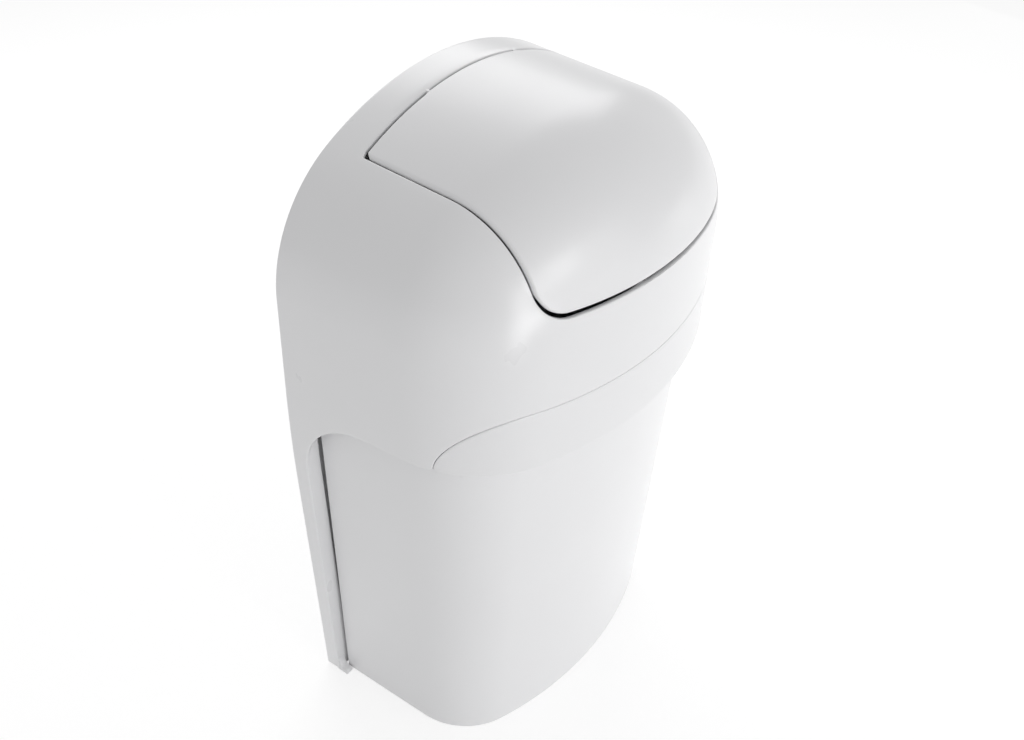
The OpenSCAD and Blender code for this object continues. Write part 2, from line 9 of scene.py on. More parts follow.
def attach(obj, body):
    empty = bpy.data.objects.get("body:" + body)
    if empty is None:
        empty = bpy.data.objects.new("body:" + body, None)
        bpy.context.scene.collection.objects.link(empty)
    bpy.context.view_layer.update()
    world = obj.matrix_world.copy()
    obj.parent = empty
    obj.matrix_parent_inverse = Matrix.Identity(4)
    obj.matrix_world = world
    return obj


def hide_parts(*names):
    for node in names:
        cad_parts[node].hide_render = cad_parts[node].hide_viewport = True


bl_info = {
    "name": "Cabinet Door Trash Can",
    "version": (1, 0, 0),
    "blender": (4, 5, 0),
    "location": "3D View > Sidebar > Trash Can",
    "description": "Builds the detailed looks of a door mounted trash can round its packed frame",
    "category": "Add Mesh",
}

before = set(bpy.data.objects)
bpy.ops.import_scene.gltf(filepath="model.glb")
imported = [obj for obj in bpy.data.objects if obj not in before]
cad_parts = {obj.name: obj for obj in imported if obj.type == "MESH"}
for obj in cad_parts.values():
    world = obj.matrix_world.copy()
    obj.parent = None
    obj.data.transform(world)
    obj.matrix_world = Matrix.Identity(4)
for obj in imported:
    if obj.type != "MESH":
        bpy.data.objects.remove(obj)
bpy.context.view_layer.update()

MM = 0.001

# Sizes of the forms in millimetres, with d the distance forward of the door plane
WIDTH = 216.0
DEPTH = 127.0
HEIGHT = 330.0
WALL_Y = DEPTH / 2
FOOT_HALF = 97.0
DOME_R = 150.5
SHOULDER_R = 67.5
FILLET_R = 57.5
BOW_R = 182.5
DRAFT = radians(2.3)
SIDE_DRAFT = radians(4.0)
BEND_R = 900.0
BEND_Z = 204.0
WALL = 2.4
HOOD_Z = 195.0
ARCH_R = 36.0
PANEL_D = 4.5
FLANGE_D = 8.0
FLANGE_W = 9.0
FOOT_R = 2.5
SEAM_D = 17.8
OPENING_HALF = 71.4
LID_FRONT_Z = 269.0
LID_CORNER = 13.0
HINGE_D = 11.0
HINGE_Z = 316.0
LIP_D = 80.0
LIP_Z = 226.0
LIP_END_D = 32.0
LIP_END_Z = 29.0
LIP_END_POWER = 1.5
LIP_GAP = 0.15
FAR_FROM_OPENING = 4.0
OPENING_LOW_Z = 240
SHORT_EDGE = 0.6
SKIN_CENTRE = (0, 40, 200)
# Heights above which the whole skin is made, and below them only its strip at the door
HOUSING_FULL_Z = 140.0
LIP_FULL_Z = 190.0
FRONT_FACES = 72
OUTLINE_STEP = 2.4

BOW_D = DEPTH - BOW_R
SHOULDER_X = SHOULDER_R - WIDTH / 2
DOME_Z = HEIGHT - DOME_R
SHOULDER_Z = DOME_Z + sqrt((DOME_R - SHOULDER_R) ** 2 - SHOULDER_X ** 2)
BEND_X = BEND_R - WIDTH / 2
SIDE_LEAN = atan2(BEND_X + FOOT_HALF, BEND_Z) - asin(BEND_R / hypot(BEND_X + FOOT_HALF, BEND_Z))
MEET_TURN = atan2(SHOULDER_Z - DOME_Z, SHOULDER_X)


def place(x, d, z):
    """A place in the frame, in metres, from X, the distance from the door and the height."""
    return Vector((x, WALL_Y - d, z)) * MM


def mix(a, b, share):
    return a + (b - a) * share


def arc(centre, r, start, end, count, last=0):
    """Points of an arc, each with the direction towards its centre."""
    turns = [mix(start, end, i / count) for i in range(count + last)]
    return [((centre[0] + r * cos(turn), centre[1] + r * sin(turn)), (-cos(turn), -sin(turn)))
            for turn in turns]


def outline_left(step):
    """Left half of the front outline: points with the direction into the body, from foot to top."""
    side_turn = pi - SIDE_LEAN
    inward = (-cos(side_turn), -sin(side_turn))
    foot_x = -FOOT_HALF + FOOT_R * (1 - inward[1]) / inward[0]
    count = round((0 - foot_x) / step)
    points = [((mix(0, foot_x, i / count), 0.0), (0.0, 1.0)) for i in range(count)]
    points += arc((foot_x, FOOT_R), FOOT_R, 1.5 * pi, side_turn, 10)
    low = (foot_x + FOOT_R * cos(side_turn), FOOT_R + FOOT_R * sin(side_turn))
    high = (BEND_X + BEND_R * cos(side_turn), BEND_Z + BEND_R * sin(side_turn))
    count = round(hypot(high[0] - low[0], high[1] - low[1]) / step)
    points += [((mix(low[0], high[0], i / count), mix(low[1], high[1], i / count)), inward)
               for i in range(count)]
    points += arc((BEND_X, BEND_Z), BEND_R, side_turn, pi, round(-BEND_R * SIDE_LEAN / step))
    count = round((SHOULDER_Z - BEND_Z) / step)
    points += [((-WIDTH / 2, mix(BEND_Z, SHOULDER_Z, i / count)), (1.0, 0.0)) for i in range(count)]
    points += arc((SHOULDER_X, SHOULDER_Z), SHOULDER_R, pi, MEET_TURN,
                  round(SHOULDER_R * (pi - MEET_TURN) / step))
    points += arc((0, DOME_Z), DOME_R, MEET_TURN, pi / 2,
                  round(DOME_R * (MEET_TURN - pi / 2) / step), 1)
    return points


def bow(x, inset=0.0):
    """Distance of the bowed front from the door."""
    return BOW_D + sqrt((BOW_R - inset) ** 2 - x * x)


def draft_at(inward):
    """Draft of the skin that faces away from this direction."""
    return DRAFT + (SIDE_DRAFT - DRAFT) * inward[0] ** 2


def ball(point, inward):
    """Centre of the rounding that rolls between this part of the skin and the bowed front."""
    deep = DEPTH - FILLET_R
    lean = draft_at(inward)
    for _ in range(12):
        run = deep * tan(lean) + FILLET_R / cos(lean)
        x = point[0] + run * inward[0]
        z = point[1] + run * inward[1]
        deep = bow(x, FILLET_R)
    return x, deep, z


def rib(point, inward, depths, turns, shallow=False):
    """A line of the skin from the door over the rounding to the bowed front, as X, d, Z."""
    lean = draft_at(inward)
    x, deep, z = ball(point, inward)
    near = list(depths)
    if not shallow:
        count = turns // 2
        near += [mix(depths[-1], deep, i / count) for i in range(1, count)]
    line = [(point[0] + d * tan(lean) * inward[0], d, point[1] + d * tan(lean) * inward[1])
            for d in near]
    if shallow:
        return line
    side = Vector((-inward[0] * cos(lean), sin(lean), -inward[1] * cos(lean)))
    front = Vector((x, deep - BOW_D, 0)) / (BOW_R - FILLET_R)
    turn = acos(max(-1, min(1, side.dot(front))))
    for i in range(turns + 1):
        share = i / turns
        out = (sin((1 - share) * turn) * side + sin(share * turn) * front) / sin(turn)
        line.append((x + FILLET_R * out[0], deep + FILLET_R * out[1], z + FILLET_R * out[2]))
    return line


NEAR_DEPTHS = [0.0, 1.2, 2.6, 4.2, 5.8, 7.2, 8.0, 10.0]


def skin_patch(step, turns, low_z):
    """The housing's outer skin as points and quads, whole above low_z."""
    half = outline_left(step)
    mirrored = [((-p[0], p[1]), (-n[0], n[1])) for p, n in half[-2:0:-1]]
    loop = half + mirrored
    middle = len(half) - 1
    points = []
    rows = []
    for p, n in loop:
        line = rib(p, n, NEAR_DEPTHS, turns, shallow=p[1] < low_z)
        rows.append([len(points) + i for i in range(len(line))])
        points += line
    faces = []
    count = len(loop)
    for j in range(count):
        a, b = rows[j], rows[(j + 1) % count]
        for k in range(min(len(a), len(b)) - 1):
            faces.append((a[k], b[k], b[k + 1], a[k + 1]))
    full = [j for j in range(middle + 1) if len(rows[j]) > len(NEAR_DEPTHS)]
    across = FRONT_FACES
    fronts = []
    for j in full:
        left = rows[j][-1]
        if j == middle:
            fronts.append([left] * (across + 1))
            continue
        right = rows[count - j][-1]
        x, _, z = points[left]
        line = [left]
        for i in range(1, across):
            at_x = mix(x, -x, i / across)
            line.append(len(points))
            points.append((at_x, bow(at_x), z))
        line.append(right)
        fronts.append(line)
    for a, b in zip(fronts, fronts[1:]):
        for i in range(across):
            face = (a[i], b[i], b[i + 1], a[i + 1])
            if b[i] == b[i + 1]:
                face = (a[i], b[i], a[i + 1])
            faces.append(face)
    return points, faces


def cut_patch(points, faces, keep):
    """Cuts a patch along the places where keep(x, d, z) is zero and drops the negative side."""
    points = list(points)
    values = [keep(*p) for p in points]
    edges = {}
    for face in faces:
        for a, b in zip(face, face[1:] + face[:1]):
            if values[a] * values[b] < 0:
                edges[(min(a, b), max(a, b))] = None
    crossings = []
    for a, b in edges:
        low, high = 0.0, 1.0
        pa, pb = points[a], points[b]
        for _ in range(24):
            t = (low + high) / 2
            spot = tuple(mix(pa[i], pb[i], t) for i in range(3))
            if keep(*spot) * values[a] > 0:
                low = t
            else:
                high = t
        crossings.append((min(t, 1 - t), a, b, t, spot))
    crossings.sort()
    for _, a, b, t, spot in crossings:
        if values[a] and values[b]:
            near = a if t < 0.5 else b
            points[near] = spot
            values[near] = 0.0
    kept = []
    for face in faces:
        inside = tuple(i for i in face if values[i] >= 0)
        if len(inside) < 3:
            continue
        if max(values[i] for i in inside) == 0:
            centre = [sum(points[i][k] for i in inside) / len(inside) for k in range(3)]
            if keep(*centre) <= 0:
                continue
        kept.append(inside)
    used = sorted({i for face in kept for i in face})
    renamed = {old: new for new, old in enumerate(used)}
    return [points[i] for i in used], [tuple(renamed[i] for i in face) for face in kept]


def segment_distance(px, py, a, b):
    dx, dy = b[0] - a[0], b[1] - a[1]
    span = dx * dx + dy * dy
    t = 0 if span == 0 else max(0, min(1, ((px - a[0]) * dx + (py - a[1]) * dy) / span))
    return hypot(px - a[0] - t * dx, py - a[1] - t * dy)


BALLS = [ball(p, n) for p, n in outline_left(0.5) if p[1] > HOOD_Z]


def skin_d(x, z):
    """Distance of the upper skin from the door at a place in the front view."""
    edge = None
    best = 0.0
    x = -abs(x)
    for bx, bd, bz in BALLS:
        rest = FILLET_R ** 2 - (x - bx) ** 2 - (z - bz) ** 2
        if rest > 0:
            best = max(best, bd + sqrt(rest))
    ratio = BOW_R / (BOW_R - FILLET_R)
    for (ax, _, az), (bx, _, bz) in zip(BALLS, BALLS[1:]):
        if ax * ratio <= x <= bx * ratio:
            edge = mix(az, bz, (x - ax * ratio) / ((bx - ax) * ratio))
    if edge is not None and z < edge:
        return bow(x)
    return best


def edge_swing():
    """The front edge of the opening as pairs of radius about the hinge rod and X."""
    line = []
    for i in range(12):
        line.append(((OPENING_HALF - LID_CORNER) * i / 12, LID_FRONT_Z))
    for i in range(13):
        turn = pi / 2 * i / 12
        line.append((OPENING_HALF - LID_CORNER * (1 - sin(turn)),
                     LID_FRONT_Z + LID_CORNER * (1 - cos(turn))))
    return [(hypot(skin_d(x, z) - HINGE_D, HINGE_Z - z), x) for x, z in line]


SWING = edge_swing()


def in_opening(x, d, z):
    """Signed distance into the lid opening, positive inside."""
    if d < SEAM_D - FAR_FROM_OPENING or z < OPENING_LOW_Z:
        return -FAR_FROM_OPENING
    r = hypot(d - HINGE_D, z - HINGE_Z)
    across = abs(x)
    inside = across < SWING[-1][1]
    if inside:
        limit = SWING[0][0]
        for (ra, xa), (rb, xb) in zip(SWING, SWING[1:]):
            if xa <= across <= xb:
                limit = mix(ra, rb, 0 if xb == xa else (across - xa) / (xb - xa))
        inside = r < limit
    nearest = min([segment_distance(r, across, a, b) for a, b in zip(SWING, SWING[1:])]
                  + [segment_distance(r, across, SWING[-1], (0.0, SWING[-1][1]))])
    return min(nearest if inside else -nearest, d - SEAM_D)


def above_arch(d, z):
    """Signed distance from the lower edge of the hood and the front of the back panel."""
    if d < FLANGE_D + ARCH_R and z > HOOD_Z - ARCH_R:
        return hypot(d - FLANGE_D - ARCH_R, z - HOOD_Z + ARCH_R) - ARCH_R
    return max(FLANGE_D - d, z - HOOD_Z)


def in_lip(d, z, inset=0.0):
    """Signed distance into the side view of the lip, positive inside."""
    start = LIP_D + inset
    top = LIP_Z - inset
    u = (start + LIP_END_D - d) / LIP_END_D
    v = (z - top + LIP_END_Z) / LIP_END_Z
    if u > 0 and v > 0:
        far = (u ** LIP_END_POWER + v ** LIP_END_POWER) ** (1 / LIP_END_POWER)
        return (1 - far) * (LIP_END_D + LIP_END_Z) / 2
    return min(d - start, top - z)


def keep_housing(x, d, z):
    return min(-in_opening(x, d, z), above_arch(d, z), -in_lip(d, z))


def keep_lip(x, d, z):
    return min(in_lip(d, z, LIP_GAP), z - HOOD_Z)


# Tools for making and finishing meshes

def mesh_object(name, points, faces):
    """A new object in the frame from points given as X, d and Z in millimetres."""
    mesh = bpy.data.meshes.new(name)
    mesh.from_pydata([place(*p) for p in points], [], faces)
    mesh.update()
    made = bpy.data.objects.new(name, mesh)
    bpy.context.scene.collection.objects.link(made)
    return made


def select_only(made):
    if bpy.context.object and bpy.context.object.mode != "OBJECT":
        bpy.ops.object.mode_set(mode="OBJECT")
    bpy.ops.object.select_all(action="DESELECT")
    made.select_set(True)
    bpy.context.view_layer.objects.active = made


def apply_modifier(made, kind, **values):
    """Adds one modifier with these settings and applies it."""
    select_only(made)
    modifier = made.modifiers.new(kind.title(), kind)
    for key, value in values.items():
        setattr(modifier, key, value)
    bpy.ops.object.modifier_apply(modifier=modifier.name)


def round_edges(made, width, segments, degrees, **more):
    """Rounds the edges that turn by more than this angle, by a width in millimetres."""
    apply_modifier(made, "BEVEL", width=width * MM, segments=segments, limit_method="ANGLE",
                   angle_limit=radians(degrees), **more)


def tidy_mesh(made, distance=0.01 * MM):
    """Merges doubles and points the faces outwards."""
    select_only(made)
    bpy.ops.object.mode_set(mode="EDIT")
    bpy.ops.mesh.select_all(action="SELECT")
    bpy.ops.mesh.remove_doubles(threshold=distance)
    bpy.ops.mesh.normals_make_consistent(inside=False)
    bpy.ops.object.mode_set(mode="OBJECT")


def solid(name, points, faces):
    """A closed body from points given as X, d and Z in millimetres."""
    made = mesh_object(name, points, faces)
    tidy_mesh(made)
    return made


def bridged(rings):
    """Quads between each closed ring of points and the next."""
    count = len(rings[0])
    return [(a[i], a[(i + 1) % count], b[(i + 1) % count], b[i])
            for a, b in zip(rings, rings[1:]) for i in range(count)]


def join(name, parts):
    """Joins several objects into the first one and names it."""
    select_only(parts[0])
    for part in parts[1:]:
        part.select_set(True)
    bpy.ops.object.join()
    made = parts[0]
    made.name = name
    made.data.name = name
    return made


def smooth(made, degrees=35):
    select_only(made)
    bpy.ops.object.shade_smooth_by_angle(angle=radians(degrees))


def join_short_edges(points, faces, least):
    """Merges the ends of rim edges that are too short to be rounded."""
    mesh = bmesh.new()
    verts = [mesh.verts.new(p) for p in points]
    for face in faces:
        if len(set(face)) > 2:
            try:
                mesh.faces.new([verts[i] for i in face])
            except ValueError:
                continue
    ends = [v for v in mesh.verts if any(len(e.link_faces) == 1 for e in v.link_edges)]
    bmesh.ops.remove_doubles(mesh, verts=ends, dist=least)
    loose = [v for v in mesh.verts if not v.link_faces]
    bmesh.ops.delete(mesh, geom=loose, context="VERTS")
    mesh.verts.index_update()
    result = [tuple(v.co) for v in mesh.verts]
    kept = [tuple(v.index for v in f.verts) for f in mesh.faces]
    mesh.free()
    return result, kept


def shell_piece(name, low_z, keep, wall, edge):
    """A moulded wall with rounded rims: the part of the skin where keep is positive, thickened."""
    points, faces = skin_patch(sizes().step / MM, sizes().turns, low_z)
    points, faces = cut_patch(points, faces, keep)
    points, faces = join_short_edges(points, faces, SHORT_EDGE)
    made = mesh_object(name, points, faces)
    mesh = made.data
    centre = place(*SKIN_CENTRE)
    facing = sum((f.center - centre).dot(f.normal) * f.area for f in mesh.polygons)
    if facing < 0:
        mesh.flip_normals()
    apply_modifier(made, "SOLIDIFY", thickness=wall * MM, offset=-1, use_even_offset=True,
                   use_rim=True)
    round_edges(made, edge / MM, 3, 55, use_clamp_overlap=False, miter_outer="MITER_SHARP",
                profile=0.5)
    return made


# Materials

def fill(tree, made, inputs):
    """Sets sockets of a node to values, or links them to the sockets that are given."""
    for key, value in inputs.items():
        if isinstance(value, bpy.types.NodeSocket):
            tree.links.new(value, made.inputs[key])
        else:
            made.inputs[key].default_value = value


def node(tree, kind, inputs, **values):
    """A new node with these settings and sockets."""
    made = tree.nodes.new(kind)
    for key, value in values.items():
        setattr(made, key, value)
    fill(tree, made, inputs)
    return made


def start_material(name):
    material = bpy.data.materials.new(name)
    material.use_nodes = True
    tree = material.node_tree
    coords = node(tree, "ShaderNodeTexCoord", {})
    return material, tree, tree.nodes["Principled BSDF"], coords.outputs["Object"]


def noise(tree, coords, scale, detail=3.0, rough=0.55, stretch=None):
    source = coords
    if stretch:
        mapping = node(tree, "ShaderNodeMapping", {"Scale": stretch, "Vector": source})
        source = mapping.outputs["Vector"]
    return node(tree, "ShaderNodeTexNoise", {"Scale": scale, "Detail": detail,
                                             "Roughness": rough, "Vector": source}).outputs["Fac"]


def spread(tree, fac, low, high, start=0.35, end=0.65):
    return node(tree, "ShaderNodeMapRange", {"From Min": start, "From Max": end, "To Min": low,
                                             "To Max": high, "Value": fac}).outputs["Result"]


def tint(tree, fac, dark, light):
    return node(tree, "ShaderNodeMix", {"A": (*dark, 1), "B": (*light, 1), "Factor": fac},
                data_type="RGBA").outputs["Result"]


def bump(tree, height, strength, distance, before=None):
    inputs = {"Strength": strength, "Distance": distance, "Height": height}
    if before:
        inputs["Normal"] = before
    return node(tree, "ShaderNodeBump", inputs).outputs["Normal"]


HOUSING_GLOSS = 0.28
LID_GLOSS = 0.34
BIN_GLOSS = 0.3


def shades(colour, share):
    """A colour and its darker shade, dark first."""
    return tuple(c * share for c in colour), tuple(colour)


def plastic(name, colour, gloss):
    """Glossy moulded plastic: faint clouding, fine flow ripple, a few soft scuffs."""
    material, tree, shader, coords = start_material(name)
    cloud = spread(tree, noise(tree, coords, 18.0, 2.0), 0, 1, 0.1, 0.9)
    scuffs = noise(tree, coords, 60.0, 3.0, 0.5, stretch=(1.0, 1.0, 0.6))
    ripple = bump(tree, noise(tree, coords, 130.0, 2.0), 0.12, 0.00005)
    grain = bump(tree, noise(tree, coords, 2600.0, 2.0), 0.10, 0.00002, ripple)
    fill(tree, shader, {
        "Base Color": tint(tree, cloud, *shades(colour, 0.975)),
        "Roughness": spread(tree, scuffs, gloss - 0.015, gloss + 0.03, 0.15, 0.85),
        "Normal": grain,
        "IOR": 1.49,
        "Coat Weight": 0.15,
        "Coat Roughness": 0.2,
    })
    return material


def steel(name, colour, rough, stretch):
    """Drawn or stamped steel with fine lines and slight tarnish."""
    material, tree, shader, coords = start_material(name)
    tarnish = spread(tree, noise(tree, coords, 140.0, 4.0), 0, 1)
    lines = noise(tree, coords, 900.0, 3.0, 0.6, stretch=stretch)
    fill(tree, shader, {
        "Base Color": tint(tree, tarnish, *shades(colour, 0.8)),
        "Roughness": spread(tree, lines, rough - 0.07, rough + 0.1),
        "Normal": bump(tree, lines, 0.2, 0.00003),
        "Metallic": 1.0,
    })
    return material


def rubber(name, colour):
    """Soft moulded pad with a fine matt grain."""
    material, tree, shader, coords = start_material(name)
    cloud = spread(tree, noise(tree, coords, 220.0, 3.0), 0, 1)
    grain = noise(tree, coords, 3000.0, 3.0)
    fill(tree, shader, {
        "Base Color": tint(tree, cloud, *shades(colour, 0.85)),
        "Roughness": spread(tree, grain, 0.6, 0.8),
        "Normal": bump(tree, grain, 0.4, 0.00006),
    })
    return material


def dress(made, material, body, slot, *nodes):
    """Gives a finished piece its material and body and hides the nodes that it stands for; slot is not
    used.
    """
    made.data.materials.clear()
    made.data.materials.append(material)
    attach(made, body)
    if nodes:
        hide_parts(*nodes)


# Sizes and colours that a user would change

def length(name, about, default, low, high):
    """A length in metres that the sidebar shows in the scene's unit."""
    return FloatProperty(name=name, description=about, default=default, min=low, max=high,
                         unit="LENGTH", subtype="DISTANCE")


def colour(name, about, default):
    return FloatVectorProperty(name=name, description=about, default=default, size=3, min=0, max=1,
                               subtype="COLOR")


class TrashCanSizes(bpy.types.PropertyGroup):
    edge: length("Hood edge", "Rounding along the rims of the housing", 0.0006, 0.0002, 0.0011)
    lid_edge: length("Lid edge", "Rounding along the edge of the lid", 0.0026, 0.0005, 0.004)
    lip_edge: length("Lip edge", "Rounding along the rims of the lip", 0.0006, 0.0002, 0.001)
    step: length("Mesh step", "Length of the faces along the outline", 0.0024, 0.001, 0.005)
    turns: IntProperty(name="Rounding steps", description="Rows of faces over the rounding",
                       default=36, min=12, max=60)


class TrashCanColours(bpy.types.PropertyGroup):
    shell: colour("Plastic", "Colour of the housing, lid and bin", (0.83, 0.83, 0.84))
    metal: colour("Steel", "Colour of the rod, clips and springs", (0.6, 0.6, 0.61))
    pad: colour("Pads", "Colour of the pads under the lid", (0.4, 0.4, 0.4))
    floor: colour("Floor", "Colour of the floor", (0.9, 0.9, 0.9))


def sizes():
    return bpy.context.scene.trash_can_sizes


def colours():
    return bpy.context.scene.trash_can_colours


# Housing

def outline_at(inset):
    """Closed front outline of the back panel, inset."""
    half = [(p[0] + inset * n[0], p[1] + inset * n[1]) for p, n in outline_left(OUTLINE_STEP)]
    return half + [(-x, z) for x, z in half[-2:0:-1]]


def prism(name, near, far):
    """A plate between two outlines with the same corners."""
    count = len(near)
    faces = [(i, (i + 1) % count, count + (i + 1) % count, count + i) for i in range(count)]
    faces += [tuple(range(count)), tuple(range(2 * count - 1, count - 1, -1))]
    return solid(name, near + far, faces)


def flat_plate(name, line, near_d, far_d):
    """A plate with this front outline of X and Z between two distances from the door."""
    return prism(name, [(x, near_d, z) for x, z in line], [(x, far_d, z) for x, z in line])


def plan_plate(name, line, low_z, high_z):
    """A level plate with this plan outline of X and d between two heights."""
    return prism(name, [(x, d, low_z) for x, d in line], [(x, d, high_z) for x, d in line])


def side_plate(name, x_low, x_high, line):
    """A plate with this side outline of d and Z and slightly rounded edges."""
    made = prism(name, [(x_low, d, z) for d, z in line], [(x_high, d, z) for d, z in line])
    round_edges(made, 0.3, 2, 50)
    return made


def block(name, low, high, edge=0.4):
    """A small moulded block with rounded edges, given by corners in X, d and Z."""
    bpy.ops.object.select_all(action="DESELECT")
    a, b = place(*low), place(*high)
    bpy.ops.mesh.primitive_cube_add(size=1, location=(a + b) / 2)
    made = bpy.context.object
    made.name = name
    made.scale = [abs(b[i] - a[i]) for i in range(3)]
    bpy.ops.object.transform_apply(location=True, rotation=False, scale=True)
    round_edges(made, edge, 2, 40)
    return made


def skin_z(x, d):
    """Height of the dome above a place on the floor."""
    return DOME_Z + sqrt(DOME_R ** 2 - x * x) - d * tan(DRAFT)


def wall_x(z, d):
    """Half width of the housing at a height below its shoulders."""
    half = sqrt(BEND_R ** 2 - min(0, z - BEND_Z) ** 2) - BEND_X
    return half - d * tan(SIDE_DRAFT)


def rod_bore(x_low, x_high, r):
    """A bore along the hinge rod."""
    bpy.ops.object.select_all(action="DESELECT")
    low, high = place(x_low, HINGE_D, HINGE_Z), place(x_high, HINGE_D, HINGE_Z)
    bpy.ops.mesh.primitive_cylinder_add(vertices=ROUND_SIDES, radius=r * MM,
                                        depth=(high - low).length, location=(low + high) / 2,
                                        rotation=(0, pi / 2, 0))
    bpy.ops.object.transform_apply(location=True, rotation=True, scale=True)
    return bpy.context.object


ROUND_SIDES = 32
SCREW_X = 60.0
SCREW_HEIGHTS = (36.0, 166.0)
HOLE_PROFILE = [(0.001, -1), (2.3, -1), (2.3, 2.6), (4.3, 4.5), (4.4, 6), (0.001, 6)]
BOSS_PROFILE = [(2.3, 0), (5.4, 0), (5.8, 0.4), (5.8, 2.4), (2.3, 2.4)]
RIB_HALF = 0.8
RIB_D = 2.4
RIB_FOOT = 3
UPRIGHT_RIBS = ((-SCREW_X, 300), (0.0, 318), (SCREW_X, 300))
CROSS_RIBS = ((112.2, 100), (201.3, 104), (273.9, 98))
LEDGE_X = 93.9
LEDGE_NEAR = 3.5
LEDGE_FAR = 72
LEDGE_LOW = 198.9
LEDGE_TOP = 201.3
LEDGE_LEVEL = 200
LEDGE_IN_WALL = 1.2
PLATE_IN_PANEL = 1.2
STOP_RIB_X = 50
STOP_RIB_HALF = 1.5
STOP_RIB_D = (3.5, 6.9)
STOP_RIB_Z = (190, 204)
NIB_HALF = 0.8
NIB_D = (16.5, 18.6)
NIB_SKIN_D = (17, 18)
NIB_BELOW = (2.2, 0.1)
TOE_IN_X = 92.0
TOE_OUT_X = 96.2
TOE_FRONT = 14.3
TOE_LINE = [(7, 0), (13.4, 0), (14.1, 0.4), (TOE_FRONT, 1.2), (14.1, 2.2), (13.3, 2.9), (11.5, 3.3),
            (9.8, 4.3), (8.8, 6.0), (8.0, 9.0), (7, 9)]
FOOT_TOP = 12
KNUCKLE_R = 3.5
ROD_R = 1.5
ARM_X = 28.5
ARM_W = 4.5
ARM_REACH = 44.0
ARM_ROOT_D = 7
ARM_SEAT = 0.3
EAR_X = 42.6
EAR_W = 4.0
STOP_TURN = asin(73.7 / 146.3)
UNDER_HOOD = 146.29
BORE_GAP = 0.05


def knuckle_arc(start, end):
    """Arc of a knuckle round the hinge rod, as d and Z, from and to these degrees."""
    turns = [radians(mix(start, end, i / 12)) for i in range(13)]
    return [(HINGE_D + KNUCKLE_R * cos(turn), HINGE_Z + KNUCKLE_R * sin(turn)) for turn in turns]


def on_rod(name, side, x, width, line):
    """A side plate from x outwards on one side, with the bore for the hinge rod."""
    low, high = sorted((side * x, side * (x + width)))
    made = side_plate(name, low, high, line)
    cut_with(made, rod_bore(low - 1, high + 1, ROD_R + BORE_GAP))
    return made


def ear(side):
    """One of the two ears that carry the hinge rod under the dome."""
    top = skin_z(EAR_X + EAR_W, HINGE_D) - WALL / 2
    back = PANEL_D - PLATE_IN_PANEL
    line = [(back, HINGE_Z - KNUCKLE_R)] + knuckle_arc(-90, 0)
    line += [(HINGE_D + KNUCKLE_R, top), (back, top)]
    return on_rod("ear", side, EAR_X, EAR_W, line)


def tilted_block(name, side, below, across, along):
    """A rounded block in line with the dome's slope beside the opening, from ranges in millimetres."""
    points = []
    for r in (UNDER_HOOD - below[0], UNDER_HOOD - below[1]):
        for t in across:
            for d in along:
                points.append((side * (r * sin(STOP_TURN) + t * cos(STOP_TURN)), d,
                               DOME_Z + r * cos(STOP_TURN) - t * sin(STOP_TURN)))
    faces = [(0, 1, 3, 2), (4, 6, 7, 5), (0, 4, 5, 1), (2, 3, 7, 6), (0, 2, 6, 4), (1, 5, 7, 3)]
    made = solid(name, points, faces)
    round_edges(made, 0.4, 3, 40)
    return made


def flange(side):
    """The upright part of the panel's flange on one side, and half of its foot."""
    near = [(p, n) for p, n in outline_left(OUTLINE_STEP) if n[0] > 0.2 and p[1] < HOOD_Z - 3]
    outer = [(p[0] + WALL / 2 * n[0], p[1] + WALL / 2 * n[1]) for p, n in near]
    inner = [(p[0] + FLANGE_W * n[0], p[1]) for p, n in near if p[1] > 6]
    line = [(0, WALL / 2)] + outer + inner[::-1] + [(0, inner[0][1])]
    return flat_plate("flange", [(-side * x, z) for x, z in line], FLANGE_D - WALL, FLANGE_D - 0.02)


def toe(side):
    """The small toe that the foot of the bin stands beside."""
    low, high = sorted((side * TOE_IN_X, side * TOE_OUT_X))
    return side_plate("toe", low, high, TOE_LINE)


def turned_along_y(name, x, z, profile):
    """A closed body turned about an axis along Y: the profile is pairs of radius and d."""
    points = []
    rings = []
    for r, d in profile:
        rings.append([len(points) + i for i in range(ROUND_SIDES)])
        for i in range(ROUND_SIDES):
            turn = 2 * pi * i / ROUND_SIDES
            points.append((x + r * cos(turn), d, z + r * sin(turn)))
    return solid(name, points, bridged(rings + rings[:1]))


def cut_with(made, cutter):
    """Cuts one solid out of another."""
    apply_modifier(made, "BOOLEAN", operation="DIFFERENCE", solver="EXACT", object=cutter)
    bpy.data.objects.remove(cutter)


